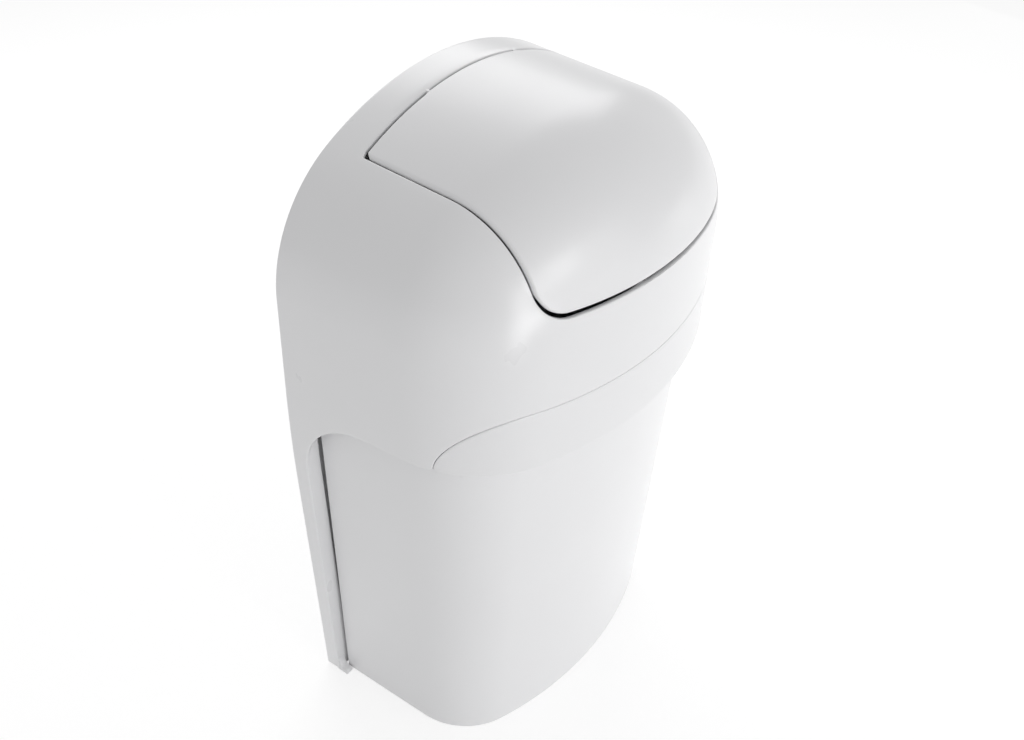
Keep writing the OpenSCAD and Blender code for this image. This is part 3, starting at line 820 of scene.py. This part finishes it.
class OBJECT_OT_trash_can_housing(bpy.types.Operator):
    """Build the housing: the domed hood and the back panel in one moulding"""
    bl_idname = "object.trash_can_housing"
    bl_label = "Housing"

    def execute(self, context):
        shell = shell_piece("housing_shell", HOUSING_FULL_Z, keep_housing, WALL, sizes().edge)
        panel = flat_plate("housing_panel", outline_at(WALL * 0.55), PANEL_D - WALL, PANEL_D)
        parts = [shell, panel]
        for x in (-SCREW_X, SCREW_X):
            for z in SCREW_HEIGHTS:
                cut_with(panel, turned_along_y("hole", x, z, HOLE_PROFILE))
                parts.append(turned_along_y("boss", x, z, BOSS_PROFILE))
        for x, top in UPRIGHT_RIBS:
            parts.append(block("rib", (x - RIB_HALF, 0, RIB_FOOT), (x + RIB_HALF, RIB_D, top)))
        for z, half in CROSS_RIBS:
            parts.append(block("rib", (-half, 0, z - RIB_HALF), (half, RIB_D, z + RIB_HALF)))
        for side in (-1, 1):
            near_x = wall_x(LEDGE_LEVEL, LEDGE_NEAR) - LEDGE_IN_WALL
            far_x = wall_x(LEDGE_LEVEL, LEDGE_FAR) - LEDGE_IN_WALL
            ledge = [(side * LEDGE_X, LEDGE_NEAR), (side * near_x, LEDGE_NEAR),
                     (side * far_x, LEDGE_FAR), (side * LEDGE_X, LEDGE_FAR)]
            parts.append(plan_plate("ledge", ledge, LEDGE_LOW, LEDGE_TOP))
            parts.append(flange(side))
            parts.append(toe(side))
            parts.append(ear(side))
            nib = [(side * (NIB_X + way * NIB_HALF), NIB_D[i], skin_z(NIB_X, NIB_SKIN_D[i]) - NIB_BELOW[i])
                   for i, way in enumerate((-1, 1))]
            parts.append(block("seam_nib", *nib, 0.2))
            stop = [(side * STOP_RIB_X + way * STOP_RIB_HALF, STOP_RIB_D[i], STOP_RIB_Z[i])
                    for i, way in enumerate((-1, 1))]
            parts.append(block("stop_rib", *stop))
        made = join("housing_piece", parts)
        for corner in made.data.vertices:
            corner.co.y = min(corner.co.y, WALL_Y * MM)
            if corner.co.z < FOOT_TOP * MM:
                corner.co.y = max(corner.co.y, (WALL_Y - TOE_FRONT) * MM)
        smooth(made)
        dress(made, plastic("housing_plastic", colours().shell, HOUSING_GLOSS), "housing",
              "housing_plastic", "housing")
        return {"FINISHED"}


# Lid

def section_at(x, half):
    """Section of the skin at one X, from the back over the dome and down the front, as d and Z."""
    line = []
    for k in range(len(half[0])):
        below = 0
        above = len(half) - 1
        while above - below > 1:
            centre = (below + above) // 2
            if half[centre][k][0] <= -abs(x):
                below = centre
            else:
                above = centre
        a, b = half[below][k], half[above][k]
        span = b[0] - a[0]
        share = 0 if span == 0 else (-abs(x) - a[0]) / span
        if share > 1.001:
            break
        line.append((mix(a[1], b[1], share), mix(a[2], b[2], share)))
    last = line[-1]
    return line + [(bow(x), last[1] - i * 1.5) for i in range(1, 30)]


def lid_column(x, line, seam, side_in):
    """The part of a section inside the lid's edge, in evenly spaced steps."""
    dense = [(mix(a[0], b[0], i / 8), mix(a[1], b[1], i / 8))
             for a, b in zip(line, line[1:]) for i in range(8)]
    reach = (abs(x) - OPENING_HALF + LID_CORNER) / (LID_CORNER - side_in)
    drop = (LID_CORNER - LID_FRONT_GAP) * sqrt(1 - min(1, max(0, reach)) ** 2)
    front_z = LID_FRONT_Z + LID_CORNER - drop
    limit = hypot(skin_d(x, front_z) - HINGE_D, HINGE_Z - front_z)
    cut = []
    for a, b in zip(dense, dense[1:]):
        if a[0] < seam <= b[0]:
            share = (seam - a[0]) / (b[0] - a[0])
            cut = [(seam, mix(a[1], b[1], share))]
            continue
        if not cut:
            continue
        ra = hypot(a[0] - HINGE_D, a[1] - HINGE_Z)
        rb = hypot(b[0] - HINGE_D, b[1] - HINGE_Z)
        cut.append(a)
        if ra < limit <= rb:
            share = (limit - ra) / (rb - ra)
            cut.append((mix(a[0], b[0], share), mix(a[1], b[1], share)))
            break
    lengths = [0.0]
    for a, b in zip(cut, cut[1:]):
        lengths.append(lengths[-1] + hypot(b[0] - a[0], b[1] - a[1]))
    column = []
    i = 0
    for row in range(LID_ROWS + 1):
        want = mix(SEAM_ROLL, lengths[-1] - FRONT_ROLL, row / LID_ROWS)
        while i < len(cut) - 2 and lengths[i + 1] < want:
            i += 1
        span = lengths[i + 1] - lengths[i]
        share = 0 if span == 0 else min(1, (want - lengths[i]) / span)
        column.append((x, mix(cut[i][0], cut[i + 1][0], share), mix(cut[i][1], cut[i + 1][1], share)))
    return column


LID_FRONT_GAP = 2.4
FRONT_SWING_GAP = 1.3
LID_GAP = 0.8
LID_SEAM_GAP = 0.9
LID_WIDE_GAP = 1.3
NIB_X = 30.0
SKIRT_LEAN = 0.18
SEAM_ROLL = 0.8
FRONT_ROLL = 1.0
LID_WALL = 2.2
LID_SKIRT = 7.0
SKIRT_WALL = 1.6
SKIRT_EDGE = 0.5
SKIRT_BEND = 0.15
SKIRT_SEAT = 0.3
STOP_BLOCK = ((4.5, 2.1), (-8, 2), (33, 47))
PAD_BLOCK = ((1.8, 0.3), (-2, 2), (35, 45))
LID_ROWS = 72
LID_COLUMNS = 44
CORNER_COLUMNS = 14


def lid_grid():
    """Points of the lid's outer skin, column by column from left to right."""
    half = [rib(p, n, NEAR_DEPTHS, 48) for p, n in outline_left(1.5) if p[1] > 200]
    side_in = LID_GAP + sizes().lid_edge * 1000 * 0.7
    bend = OPENING_HALF - LID_CORNER
    xs = [bend * i / LID_COLUMNS for i in range(LID_COLUMNS)]
    xs += [bend + (LID_CORNER - side_in) * sin(pi / 2 * i / CORNER_COLUMNS)
           for i in range(CORNER_COLUMNS + 1)]
    xs = [-x for x in xs[:0:-1]] + xs
    grid = []
    for x in xs:
        line = section_at(x, half)
        wide = min(1, max(0, (abs(x) - NIB_X - 1) / 2))
        seam = SEAM_D + mix(LID_SEAM_GAP, LID_WIDE_GAP, wide)
        grid.append(lid_column(x, line, seam, side_in))
    return grid


def tray(name, grid, side_roll):
    """A closed shell from a grid of its outer skin, with a rounded edge and a skirt below it."""
    wall, skirt, lip_t = LID_WALL, LID_SKIRT, SKIRT_WALL
    cols = len(grid)
    rows = len(grid[0])
    base = [[Vector(p) for p in column] for column in grid]

    def normal_at(i, j):
        a = base[min(i + 5, cols - 1)][j] - base[max(i - 5, 0)][j]
        b = base[i][min(j + 2, rows - 1)] - base[i][max(j - 2, 0)]
        n = a.cross(b)
        return n.normalized()

    normals = [[normal_at(i, j) for j in range(rows)] for i in range(cols)]
    middle = normals[cols // 2][rows // 3]
    if middle[2] < 0:
        normals = [[-n for n in column] for column in normals]
    rim = ([(i, 0) for i in range(cols)] + [(cols - 1, j) for j in range(1, rows)]
           + [(i, rows - 1) for i in range(cols - 2, -1, -1)]
           + [(0, j) for j in range(rows - 2, 0, -1)])
    count = len(rim)
    spots = [base[i][j] for i, j in rim]
    ups = [normals[i][j] for i, j in rim]
    ins = []
    for k in range(count):
        along = spots[(k + 1) % count] - spots[(k - 1) % count]
        side = ups[k].cross(along).normalized()
        towards = base[cols // 2][rows // 2] - spots[k]
        if side.dot(towards) < 0:
            side = -side
        ins.append(side)
    rolls = []
    for k, (i, j) in enumerate(rim):
        spot = spots[k]
        out = Vector((0, spot[1] - HINGE_D, spot[2] - HINGE_Z)).normalized()
        reach = hypot(ins[k][0], ins[k].dot(out))
        gap = mix(FRONT_SWING_GAP, LID_GAP, min(1, 2 * ins[k][0] ** 2))
        roll = (in_opening(*spot) - gap) / max(0.4, reach)
        rolls.append(SEAM_ROLL if j == 0 else min(side_roll, max(SEAM_ROLL, roll)))
    points = [spot for column in base for spot in column]
    index = [[i * rows + j for j in range(rows)] for i in range(cols)]
    faces = [(index[i][j], index[i + 1][j], index[i + 1][j + 1], index[i][j + 1])
             for i in range(cols - 1) for j in range(rows - 1)]
    rings = [[index[i][j] for i, j in rim]]

    def ring(spot_at):
        rings.append([len(points) + k for k in range(count)])
        points.extend([spot_at(k) for k in range(count)])

    for s in range(1, 9):
        turn = pi / 2 * s / 8
        ring(lambda k: spots[k] - rolls[k] * sin(turn) * ins[k] - rolls[k] * (1 - cos(turn)) * ups[k])
    for inward, down in ((0.0, (side_roll + skirt) / 2), (0.0, skirt - SKIRT_EDGE),
                         (SKIRT_BEND, skirt - SKIRT_BEND), (SKIRT_EDGE, skirt),
                         (lip_t - SKIRT_EDGE, skirt), (lip_t - SKIRT_BEND, skirt - SKIRT_BEND),
                         (lip_t, skirt - SKIRT_EDGE), (lip_t, wall + 1.5)):
        ring(lambda k: spots[k] + (inward + down * SKIRT_LEAN - rolls[k]) * ins[k] - down * ups[k])
    ring(lambda k: spots[k] + max(SKIRT_SEAT, lip_t + SKIRT_SEAT - rolls[k]) * ins[k] - wall * ups[k])
    faces += bridged(rings)
    inner = [[0] * rows for _ in range(cols)]
    last = {rim[k]: rings[-1][k] for k in range(count)}
    for i in range(cols):
        for j in range(rows):
            if (i, j) in last:
                inner[i][j] = last[(i, j)]
            else:
                inner[i][j] = len(points)
                points.append(base[i][j] - wall * normals[i][j])
    for i in range(cols - 1):
        for j in range(rows - 1):
            faces.append((inner[i][j], inner[i][j + 1], inner[i + 1][j + 1], inner[i + 1][j]))
    return solid(name, points, faces)


def lid_arm(side):
    """One of the two arms between the lid and the hinge rod."""
    x = ARM_X + ARM_W
    root = SEAM_D + LID_SEAM_GAP + 2.0
    root_z = skin_z(x, root) - LID_WALL
    reach_z = skin_z(x, ARM_REACH) - LID_WALL
    line = knuckle_arc(90, 270)
    line += [(root, root_z - ARM_ROOT_D), (ARM_REACH, reach_z - ARM_SEAT),
             (ARM_REACH, reach_z + LID_WALL / 2), (root, root_z + LID_WALL / 2),
             (root, root_z - ARM_SEAT)]
    return on_rod("arm", side, ARM_X, ARM_W, line)


class OBJECT_OT_trash_can_lid(bpy.types.Operator):
    """Build the push-in lid"""
    bl_idname = "object.trash_can_lid"
    bl_label = "Lid"

    def execute(self, context):
        parts = [tray("lid", lid_grid(), sizes().lid_edge * 1000)]
        for side in (-1, 1):
            parts.append(lid_arm(side))
            parts.append(tilted_block("stop", side, *STOP_BLOCK))
        made = join("lid_piece", parts)
        smooth(made, 50)
        dress(made, plastic("lid_plastic", colours().shell, LID_GLOSS), "lid", "lid_plastic", "lid")
        return {"FINISHED"}


# Bin

BIN_FOOT_HALF = 91.4
BIN_TOP_HALF = 99.5
BIN_FOOT_D = 110.0
BIN_TOP_D = 117.5
BIN_FOOT_R = 37.0
BIN_TOP_R = 45.0
BIN_BACK_D = 9.6
BIN_BOW_R = 192.0
BIN_DRAFT = radians(1.7)
BIN_BACK_R = 1.6
BIN_WALL = 2.2
NECK_IN = 6.2
NECK_DROP = 4.0
RIM_TOP = 204.0
RIM_X = 96.6
RIM_BACK = 7.2
RIM_FRONT = 83.0
RIM_CORNER = 4
RIM_T = 2.4
NECK_FRONT = 88
NECK_FADE = 5
BIN_FLOOR = 2.4
BIN_FOOT_EDGE = 1.3
MOUTH_Z = (190, 215)
LIP_FOOT = HOOD_Z + 0.2
LIP_BACK_D = LIP_D + LIP_GAP + 0.2
END_WALL = ((91.5, LIP_FOOT), (97.6, LIP_FOOT), (97.4, 198.0), (91.5, 198.0))
BODY_ROWS = 39
EDGE_ROWS = 8
SHELF_TOP = HOOD_Z + BIN_WALL


def neck_share(d):
    """How far the neck is drawn in at a distance from the door: fully behind, not at all in front."""
    return min(1, max(0, (NECK_FRONT - d) / NECK_FADE))


def bin_ring(z, inset, neck=0.0):
    """Plan outline of the bin at a height, inset from its skin, with the neck's extra inset."""
    share = z / HOOD_Z
    half = mix(BIN_FOOT_HALF, BIN_TOP_HALF, share)
    reach = mix(BIN_FOOT_D, BIN_TOP_D, share)
    r = mix(BIN_FOOT_R, BIN_TOP_R, share)
    bow_at = reach - BIN_BOW_R
    guess = bow_at + sqrt((BIN_BOW_R - r) ** 2 - (half - r) ** 2)
    x = half - guess * tan(BIN_DRAFT) - r / cos(BIN_DRAFT)
    d = bow_at + sqrt((BIN_BOW_R - r) ** 2 - x * x)
    meet = atan2(d - bow_at, x)

    def point(kind, share_on, more):
        total = inset + more
        back_r = max(BIN_BACK_R - total, 1.1)
        back_x = half - BIN_BACK_D * tan(BIN_DRAFT) - total / cos(BIN_DRAFT) - back_r
        back_d = BIN_BACK_D + total + back_r
        if kind == "back":
            return mix(0, back_x, share_on), BIN_BACK_D + total
        if kind == "corner_back":
            turn = mix(-pi / 2, BIN_DRAFT, share_on)
            return back_x + back_r * cos(turn), back_d + back_r * sin(turn)
        if kind == "side":
            from_x = back_x + back_r * cos(BIN_DRAFT)
            from_d = back_d + back_r * sin(BIN_DRAFT)
            to_x = x + (r - total) * cos(BIN_DRAFT)
            to_d = d + (r - total) * sin(BIN_DRAFT)
            return mix(from_x, to_x, share_on), mix(from_d, to_d, share_on)
        if kind == "corner":
            turn = mix(BIN_DRAFT, meet, share_on)
            return x + (r - total) * cos(turn), d + (r - total) * sin(turn)
        turn = mix(meet, pi / 2, share_on)
        return (BIN_BOW_R - total) * cos(turn), bow_at + (BIN_BOW_R - total) * sin(turn)

    right = []
    for kind, count in (("back", 16), ("corner_back", 6), ("side", 24), ("corner", 28), ("bow", 26)):
        for i in range(count):
            spot = point(kind, i / count, 0.0)
            more = neck * neck_share(spot[1])
            right.append(point(kind, i / count, more))
    right.append(point("bow", 1.0, 0.0))
    return right + [(-px, pd) for px, pd in right[-2:0:-1]]


def bin_body():
    """The bin's wall as one closed body: out, up, over the rim and down the inside."""
    foot = BIN_FOOT_EDGE
    turns = [pi / 2 * i / EDGE_ROWS for i in range(EDGE_ROWS + 1)]
    rows = range(1, BODY_ROWS + 1)
    neck_z = HOOD_Z - NECK_DROP
    levels = [(foot * (1 - cos(turn)), foot * (1 - sin(turn)), 0.0) for turn in turns]
    levels += [(mix(foot, neck_z, i / BODY_ROWS), 0.0, 0.0) for i in rows]
    levels += [(HOOD_Z, 0.0, NECK_IN), (SHELF_TOP, 0.0, NECK_IN), ("top", 0.0, NECK_IN),
               ("top", BIN_WALL, NECK_IN), (SHELF_TOP, BIN_WALL, NECK_IN), (HOOD_Z, BIN_WALL, NECK_IN)]
    levels += [(mix(foot + BIN_FLOOR, neck_z, i / BODY_ROWS), BIN_WALL, 0.0) for i in reversed(rows)]
    levels += [(BIN_FLOOR + foot * (1 - sin(turn)), BIN_WALL + foot * (1 - cos(turn)), 0.0)
               for turn in turns]
    points = []
    rings = []
    for z, inset, neck in levels:
        at_z = RIM_TOP if z == "top" else z
        line = bin_ring(min(at_z, HOOD_Z), inset, neck)
        rings.append([len(points) + i for i in range(len(line))])
        for px, pd in line:
            top = mix(SHELF_TOP + 0.1, RIM_TOP - RIM_T / 2, neck_share(pd))
            points.append((px, pd, top if z == "top" else at_z))
    count = len(rings[0])
    faces = bridged(rings)
    for ring, height in ((rings[0], 0.0), (rings[-1], BIN_FLOOR)):
        middle = len(points)
        centre_d = sum(points[i][1] for i in ring) / count
        points.append((0.0, centre_d, height))
        faces += [(ring[i], ring[(i + 1) % count], middle) for i in range(count)]
    return solid("bin_body", points, faces)


def skin_plan(z, inset):
    """Plan outline of the skin at a height below the shoulders, from the lip's back forwards."""
    ribs = [rib(p, n, NEAR_DEPTHS, 36) for p, n in outline_left(4.0) if 185 < p[1] < 225]
    line = []
    for k in range(len(ribs[0])):
        for a, b in zip(ribs, ribs[1:]):
            if a[k][2] <= z < b[k][2]:
                share = (z - a[k][2]) / (b[k][2] - a[k][2])
                spot = [mix(a[k][i], b[k][i], share) for i in range(2)]
                if spot[1] > LIP_D + LIP_GAP + 0.3:
                    line.append((spot[0] * (1 - inset / WIDTH * 2), spot[1] - inset))
                break
    x = line[-1][0]
    line += [(mix(x, 0, i / 20), bow(mix(x, 0, i / 20)) - inset) for i in range(1, 21)]
    start = (line[0][0], LIP_BACK_D)
    left = [start] + line
    return left + [(-px, pd) for px, pd in left[-2::-1]]


def cavity(line):
    """The space inside this plan outline about the bin's mouth, as a solid to cut with."""
    return plan_plate("cavity", line, *MOUTH_Z)


def bin_rim():
    """The flange round the neck that the bin hangs by."""
    line = []
    for side in (1, -1):
        for i in range(7)[::side]:
            turn = radians(mix(0, 90, i / 6))
            line.append((side * (RIM_X - RIM_CORNER + RIM_CORNER * cos(turn)),
                         RIM_BACK + RIM_CORNER - RIM_CORNER * sin(turn)))
    line += [(-RIM_X, RIM_FRONT), (RIM_X, RIM_FRONT)]
    made = plan_plate("rim", line, RIM_TOP - RIM_T, RIM_TOP)
    round_edges(made, 0.5, 2, 60)
    cut_with(made, cavity(bin_ring(HOOD_Z, BIN_WALL + 0.03, NECK_IN)))
    return made


def lip_shelf():
    """The ledge that carries the lip round the front of the bin."""
    made = plan_plate("shelf", skin_plan(196.2, 1.0), LIP_FOOT, SHELF_TOP)
    cut_with(made, cavity(bin_ring(HOOD_Z - NECK_DROP, BIN_WALL * 0.6)))
    return made


class OBJECT_OT_trash_can_bin(bpy.types.Operator):
    """Build the bin with its pull lip"""
    bl_idname = "object.trash_can_bin"
    bl_label = "Bin"

    def execute(self, context):
        lip = shell_piece("bin_lip", LIP_FULL_Z, keep_lip, BIN_WALL, sizes().lip_edge)
        parts = [bin_body(), lip, bin_rim(), lip_shelf()]
        for side in (-1, 1):
            line = [(side * x, z) for x, z in END_WALL]
            parts.append(flat_plate("end_wall", line, LIP_BACK_D, RIM_FRONT))
        made = join("bin_piece", parts)
        smooth(made)
        dress(made, plastic("bin_plastic", colours().shell, BIN_GLOSS), "bin", "bin_plastic", "bin")
        return {"FINISHED"}


# Lid hardware

WIRE_R = 0.45
COIL_R = 2.3
SPRING_X = 33.75
SPRING_PITCH = 1.35
LEG_L = 15.0
LID_LEG_TURN = 7.0
PANEL_LEG_TURN = -60.0
PANEL_LEG_SHARE = 0.48
CURLS = 6


def lid_spring(side, name):
    """A torsion spring: one leg on the panel, the coil round the rod, one leg under the lid."""
    turns = CURLS - 1 + (LID_LEG_TURN - PANEL_LEG_TURN) / 360
    steps = round(turns * 40)
    path = []
    first = radians(LID_LEG_TURN)
    for i in range(13):
        reach = LEG_L * (1 - i / 13)
        path.append((SPRING_X, COIL_R * sin(first) + reach * cos(first),
                     COIL_R * cos(first) - reach * sin(first)))
    for i in range(steps + 1):
        turn = first - 2 * pi * turns * i / steps
        path.append((SPRING_X + SPRING_PITCH * turns * i / steps, COIL_R * sin(turn),
                     COIL_R * cos(turn)))
    last = first - 2 * pi * turns
    end = path[-1]
    for i in range(1, 9):
        reach = LEG_L * PANEL_LEG_SHARE * i / 8
        path.append((end[0], end[1] - reach * cos(last), end[2] + reach * sin(last)))
    curve = bpy.data.curves.new(name, "CURVE")
    curve.dimensions = "3D"
    curve.bevel_depth = WIRE_R * MM
    curve.bevel_resolution = 2
    curve.use_fill_caps = True
    spline = curve.splines.new("POLY")
    spline.points.add(len(path) - 1)
    for point, (x, d, z) in zip(spline.points, path):
        point.co = (*place(side * x, HINGE_D + d, HINGE_Z + z), 1)
    made = bpy.data.objects.new(name, curve)
    bpy.context.scene.collection.objects.link(made)
    select_only(made)
    bpy.ops.object.convert(target="MESH")
    made = bpy.context.object
    tidy_mesh(made, 0.001 * MM)
    smooth(made, 60)
    return made


class OBJECT_OT_trash_can_hardware(bpy.types.Operator):
    """Finish the hinge rod, its clips, the springs and the pads"""
    bl_idname = "object.trash_can_hardware"
    bl_label = "Lid hardware"

    def execute(self, context):
        metal = colours().metal
        finishes = {
            "hinge_rod": steel("rod_steel", metal, 0.28, (0.05, 1.0, 1.0)),
            "rod_clip": steel("clip_steel", tuple(c * 0.7 for c in metal), 0.4, (1, 1, 1)),
        }
        for name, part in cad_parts.items():
            for start, material in finishes.items():
                if name.startswith(start):
                    part.data.materials.clear()
                    part.data.materials.append(material)
        wire = steel("spring_steel", tuple(c * 0.85 for c in metal), 0.32, (1, 1, 1))
        pad = rubber("bumper_rubber", colours().pad)
        for side, word in ((-1, "left"), (1, "right")):
            spring = lid_spring(side, "spring_" + word)
            dress(spring, wire, "housing", "spring_steel", "lid_spring_" + word)
            made = tilted_block("pad_" + word, side, *PAD_BLOCK)
            smooth(made)
            dress(made, pad, "lid", "bumper_rubber", "lid_bumper_" + word)
        return {"FINISHED"}


# Stage

WHITE = (1, 1, 1, 1)
WORLD_LIGHT = 0.57
FLOOR_SHADE = 0.45
FLOOR_GLOW = 0.68
FLOOR_MIRRORED = 0.5
CENTRE = (0, 0, 0.17)
# Name, place, aim, size, power, and whether the lamp shows only as a highlight
LAMPS = (
    ("back_lamp", (0.55, 0.6, 0.8), CENTRE, (1.0, 0.5), 3.6, False),
    ("front_lamp", (0.1, -1.2, 0.4), CENTRE, (0.9, 0.9), 2.75, False),
    ("front_left_lamp", (-0.4, -1.0, 0.8), CENTRE, (0.8, 0.8), 0.7, False),
    ("right_lamp", (1.1, -0.2, 0.4), CENTRE, (0.8, 0.8), 0.25, False),
    ("left_lamp", (-1.1, -0.4, 0.6), CENTRE, (0.8, 0.8), 0.15, False),
    ("low_lamp", (0.9, -0.6, 0.12), CENTRE, (0.3, 0.2), 0.2, False),
    ("low_left_lamp", (-0.3, -1.1, 0.14), CENTRE, (0.3, 0.2), 1.0, False),
    ("corner_card", (-0.3, -0.59, 0.26), (-0.07, -0.04, 0.27), (0.14, 0.5), 0.8, True),
    ("lid_card", (-0.12, -1.0, 0.6), (-0.06, -0.04, 0.29), (0.3, 0.3), 1.3, True),
)
CAMERA_TURN, CAMERA_TILT, CAMERA_ROLL = radians(-54.6), radians(37.42), radians(2.94)
CAMERA_TARGET = (-7.52, 10.61, 181.69)
CAMERA_METRES = 0.56788
FOCAL_PIXELS = 1144.27
IMAGE_PIXELS = 1024.0
SENSOR = 36.0


def by_camera(tree, rest, shown, surface):
    """Shows the camera one shader and gives the other rays another."""
    path = node(tree, "ShaderNodeLightPath", {})
    blend = node(tree, "ShaderNodeMixShader", {"Fac": path.outputs["Is Camera Ray"],
                                               1: rest.outputs[0], 2: shown.outputs[0]})
    fill(tree, surface, {"Surface": blend.outputs[0]})


class OBJECT_OT_trash_can_stage(bpy.types.Operator):
    """Build the floor, the studio lights and the camera"""
    bl_idname = "object.trash_can_stage"
    bl_label = "Stage"

    def execute(self, context):
        scene = context.scene
        scene.view_settings.view_transform = "Standard"
        bpy.ops.object.select_all(action="DESELECT")
        bpy.ops.mesh.primitive_plane_add(size=12, location=(0, 0, 0))
        floor = context.object
        floor.name = "floor"
        floor.data.materials.append(self.floor_material())
        self.world(scene)
        self.lamps()
        self.camera(scene)
        return {"FINISHED"}

    def floor_material(self):
        material, tree, shader, _ = start_material("floor")
        pale = colours().floor
        dull = node(tree, "ShaderNodeBsdfDiffuse", {"Color": (*(c * FLOOR_SHADE for c in pale), 1)})
        glow = node(tree, "ShaderNodeEmission", {"Strength": FLOOR_GLOW})
        shown = node(tree, "ShaderNodeAddShader", {0: dull.outputs[0], 1: glow.outputs[0]})
        path = node(tree, "ShaderNodeLightPath", {})
        mirrored = node(tree, "ShaderNodeMath", {0: path.outputs["Is Glossy Ray"], 1: FLOOR_MIRRORED},
                        operation="MULTIPLY")
        fill(tree, shader, {
            "Base Color": (*pale, 1),
            "Roughness": 0.9,
            "Specular IOR Level": 0.1,
            "Emission Color": WHITE,
            "Emission Strength": mirrored.outputs[0],
        })
        by_camera(tree, shader, shown, tree.nodes["Material Output"])
        return material

    def world(self, scene):
        world = bpy.data.worlds.new("studio")
        scene.world = world
        world.use_nodes = True
        tree = world.node_tree
        back = tree.nodes["Background"]
        fill(tree, back, {"Color": WHITE, "Strength": WORLD_LIGHT})
        white = node(tree, "ShaderNodeBackground", {"Color": WHITE, "Strength": 1.0})
        by_camera(tree, back, white, tree.nodes["World Output"])

    def lamps(self):
        for name, spot, aim, size, power, only_gloss in LAMPS:
            lamp = bpy.data.lights.new(name, "AREA")
            lamp.shape = "RECTANGLE"
            lamp.size, lamp.size_y = size
            lamp.energy = power
            made = bpy.data.objects.new(name, lamp)
            bpy.context.scene.collection.objects.link(made)
            made.location = spot
            made.visible_camera = False
            made.visible_diffuse = not only_gloss
            way = Vector(aim) - Vector(spot)
            made.rotation_mode = "QUATERNION"
            made.rotation_quaternion = way.to_track_quat("-Z", "Y")

    def camera(self, scene):
        turn, tilt, roll = CAMERA_TURN, CAMERA_TILT, CAMERA_ROLL
        target = Vector(CAMERA_TARGET) * MM
        back = Vector((sin(turn) * cos(tilt), -cos(turn) * cos(tilt), sin(tilt)))
        ahead = -back
        right = ahead.cross(Vector((0, 0, 1))).normalized()
        up = right.cross(ahead)
        across = right * cos(roll) + up * sin(roll)
        upward = -right * sin(roll) + up * cos(roll)
        lens = bpy.data.cameras.new("camera")
        lens.sensor_width = SENSOR
        lens.lens = FOCAL_PIXELS * SENSOR / IMAGE_PIXELS
        made = bpy.data.objects.new("camera", lens)
        scene.collection.objects.link(made)
        made.matrix_world = Matrix((across, upward, back)).transposed().to_4x4()
        made.location = target + back * CAMERA_METRES
        lens.clip_start = 0.01
        lens.clip_end = 50
        scene.camera = made


class VIEW3D_PT_trash_can(bpy.types.Panel):
    """Lists the pieces of the trash can and its sizes"""
    bl_label = "Trash Can"
    bl_space_type = "VIEW_3D"
    bl_region_type = "UI"
    bl_category = "Trash Can"

    def draw(self, context):
        layout = self.layout
        for group in (context.scene.trash_can_sizes, context.scene.trash_can_colours):
            box = layout.box()
            for key in group.__annotations__:
                box.prop(group, key)
        for step in STEPS:
            layout.operator(step)


STEPS = ("object.trash_can_housing", "object.trash_can_lid", "object.trash_can_bin",
         "object.trash_can_hardware", "object.trash_can_stage")
CLASSES = (
    TrashCanSizes,
    TrashCanColours,
    OBJECT_OT_trash_can_housing,
    OBJECT_OT_trash_can_lid,
    OBJECT_OT_trash_can_bin,
    OBJECT_OT_trash_can_hardware,
    OBJECT_OT_trash_can_stage,
    VIEW3D_PT_trash_can,
)


def register():
    for made in CLASSES:
        bpy.utils.register_class(made)
    bpy.types.Scene.trash_can_sizes = PointerProperty(type=TrashCanSizes)
    bpy.types.Scene.trash_can_colours = PointerProperty(type=TrashCanColours)


def unregister():
    del bpy.types.Scene.trash_can_colours
    del bpy.types.Scene.trash_can_sizes
    for made in reversed(CLASSES):
        bpy.utils.unregister_class(made)


def main():
    register()
    bpy.ops.object.trash_can_housing()
    bpy.ops.object.trash_can_lid()
    bpy.ops.object.trash_can_bin()
    bpy.ops.object.trash_can_hardware()
    bpy.ops.object.trash_can_stage()


if __name__ == "__main__":
    main()
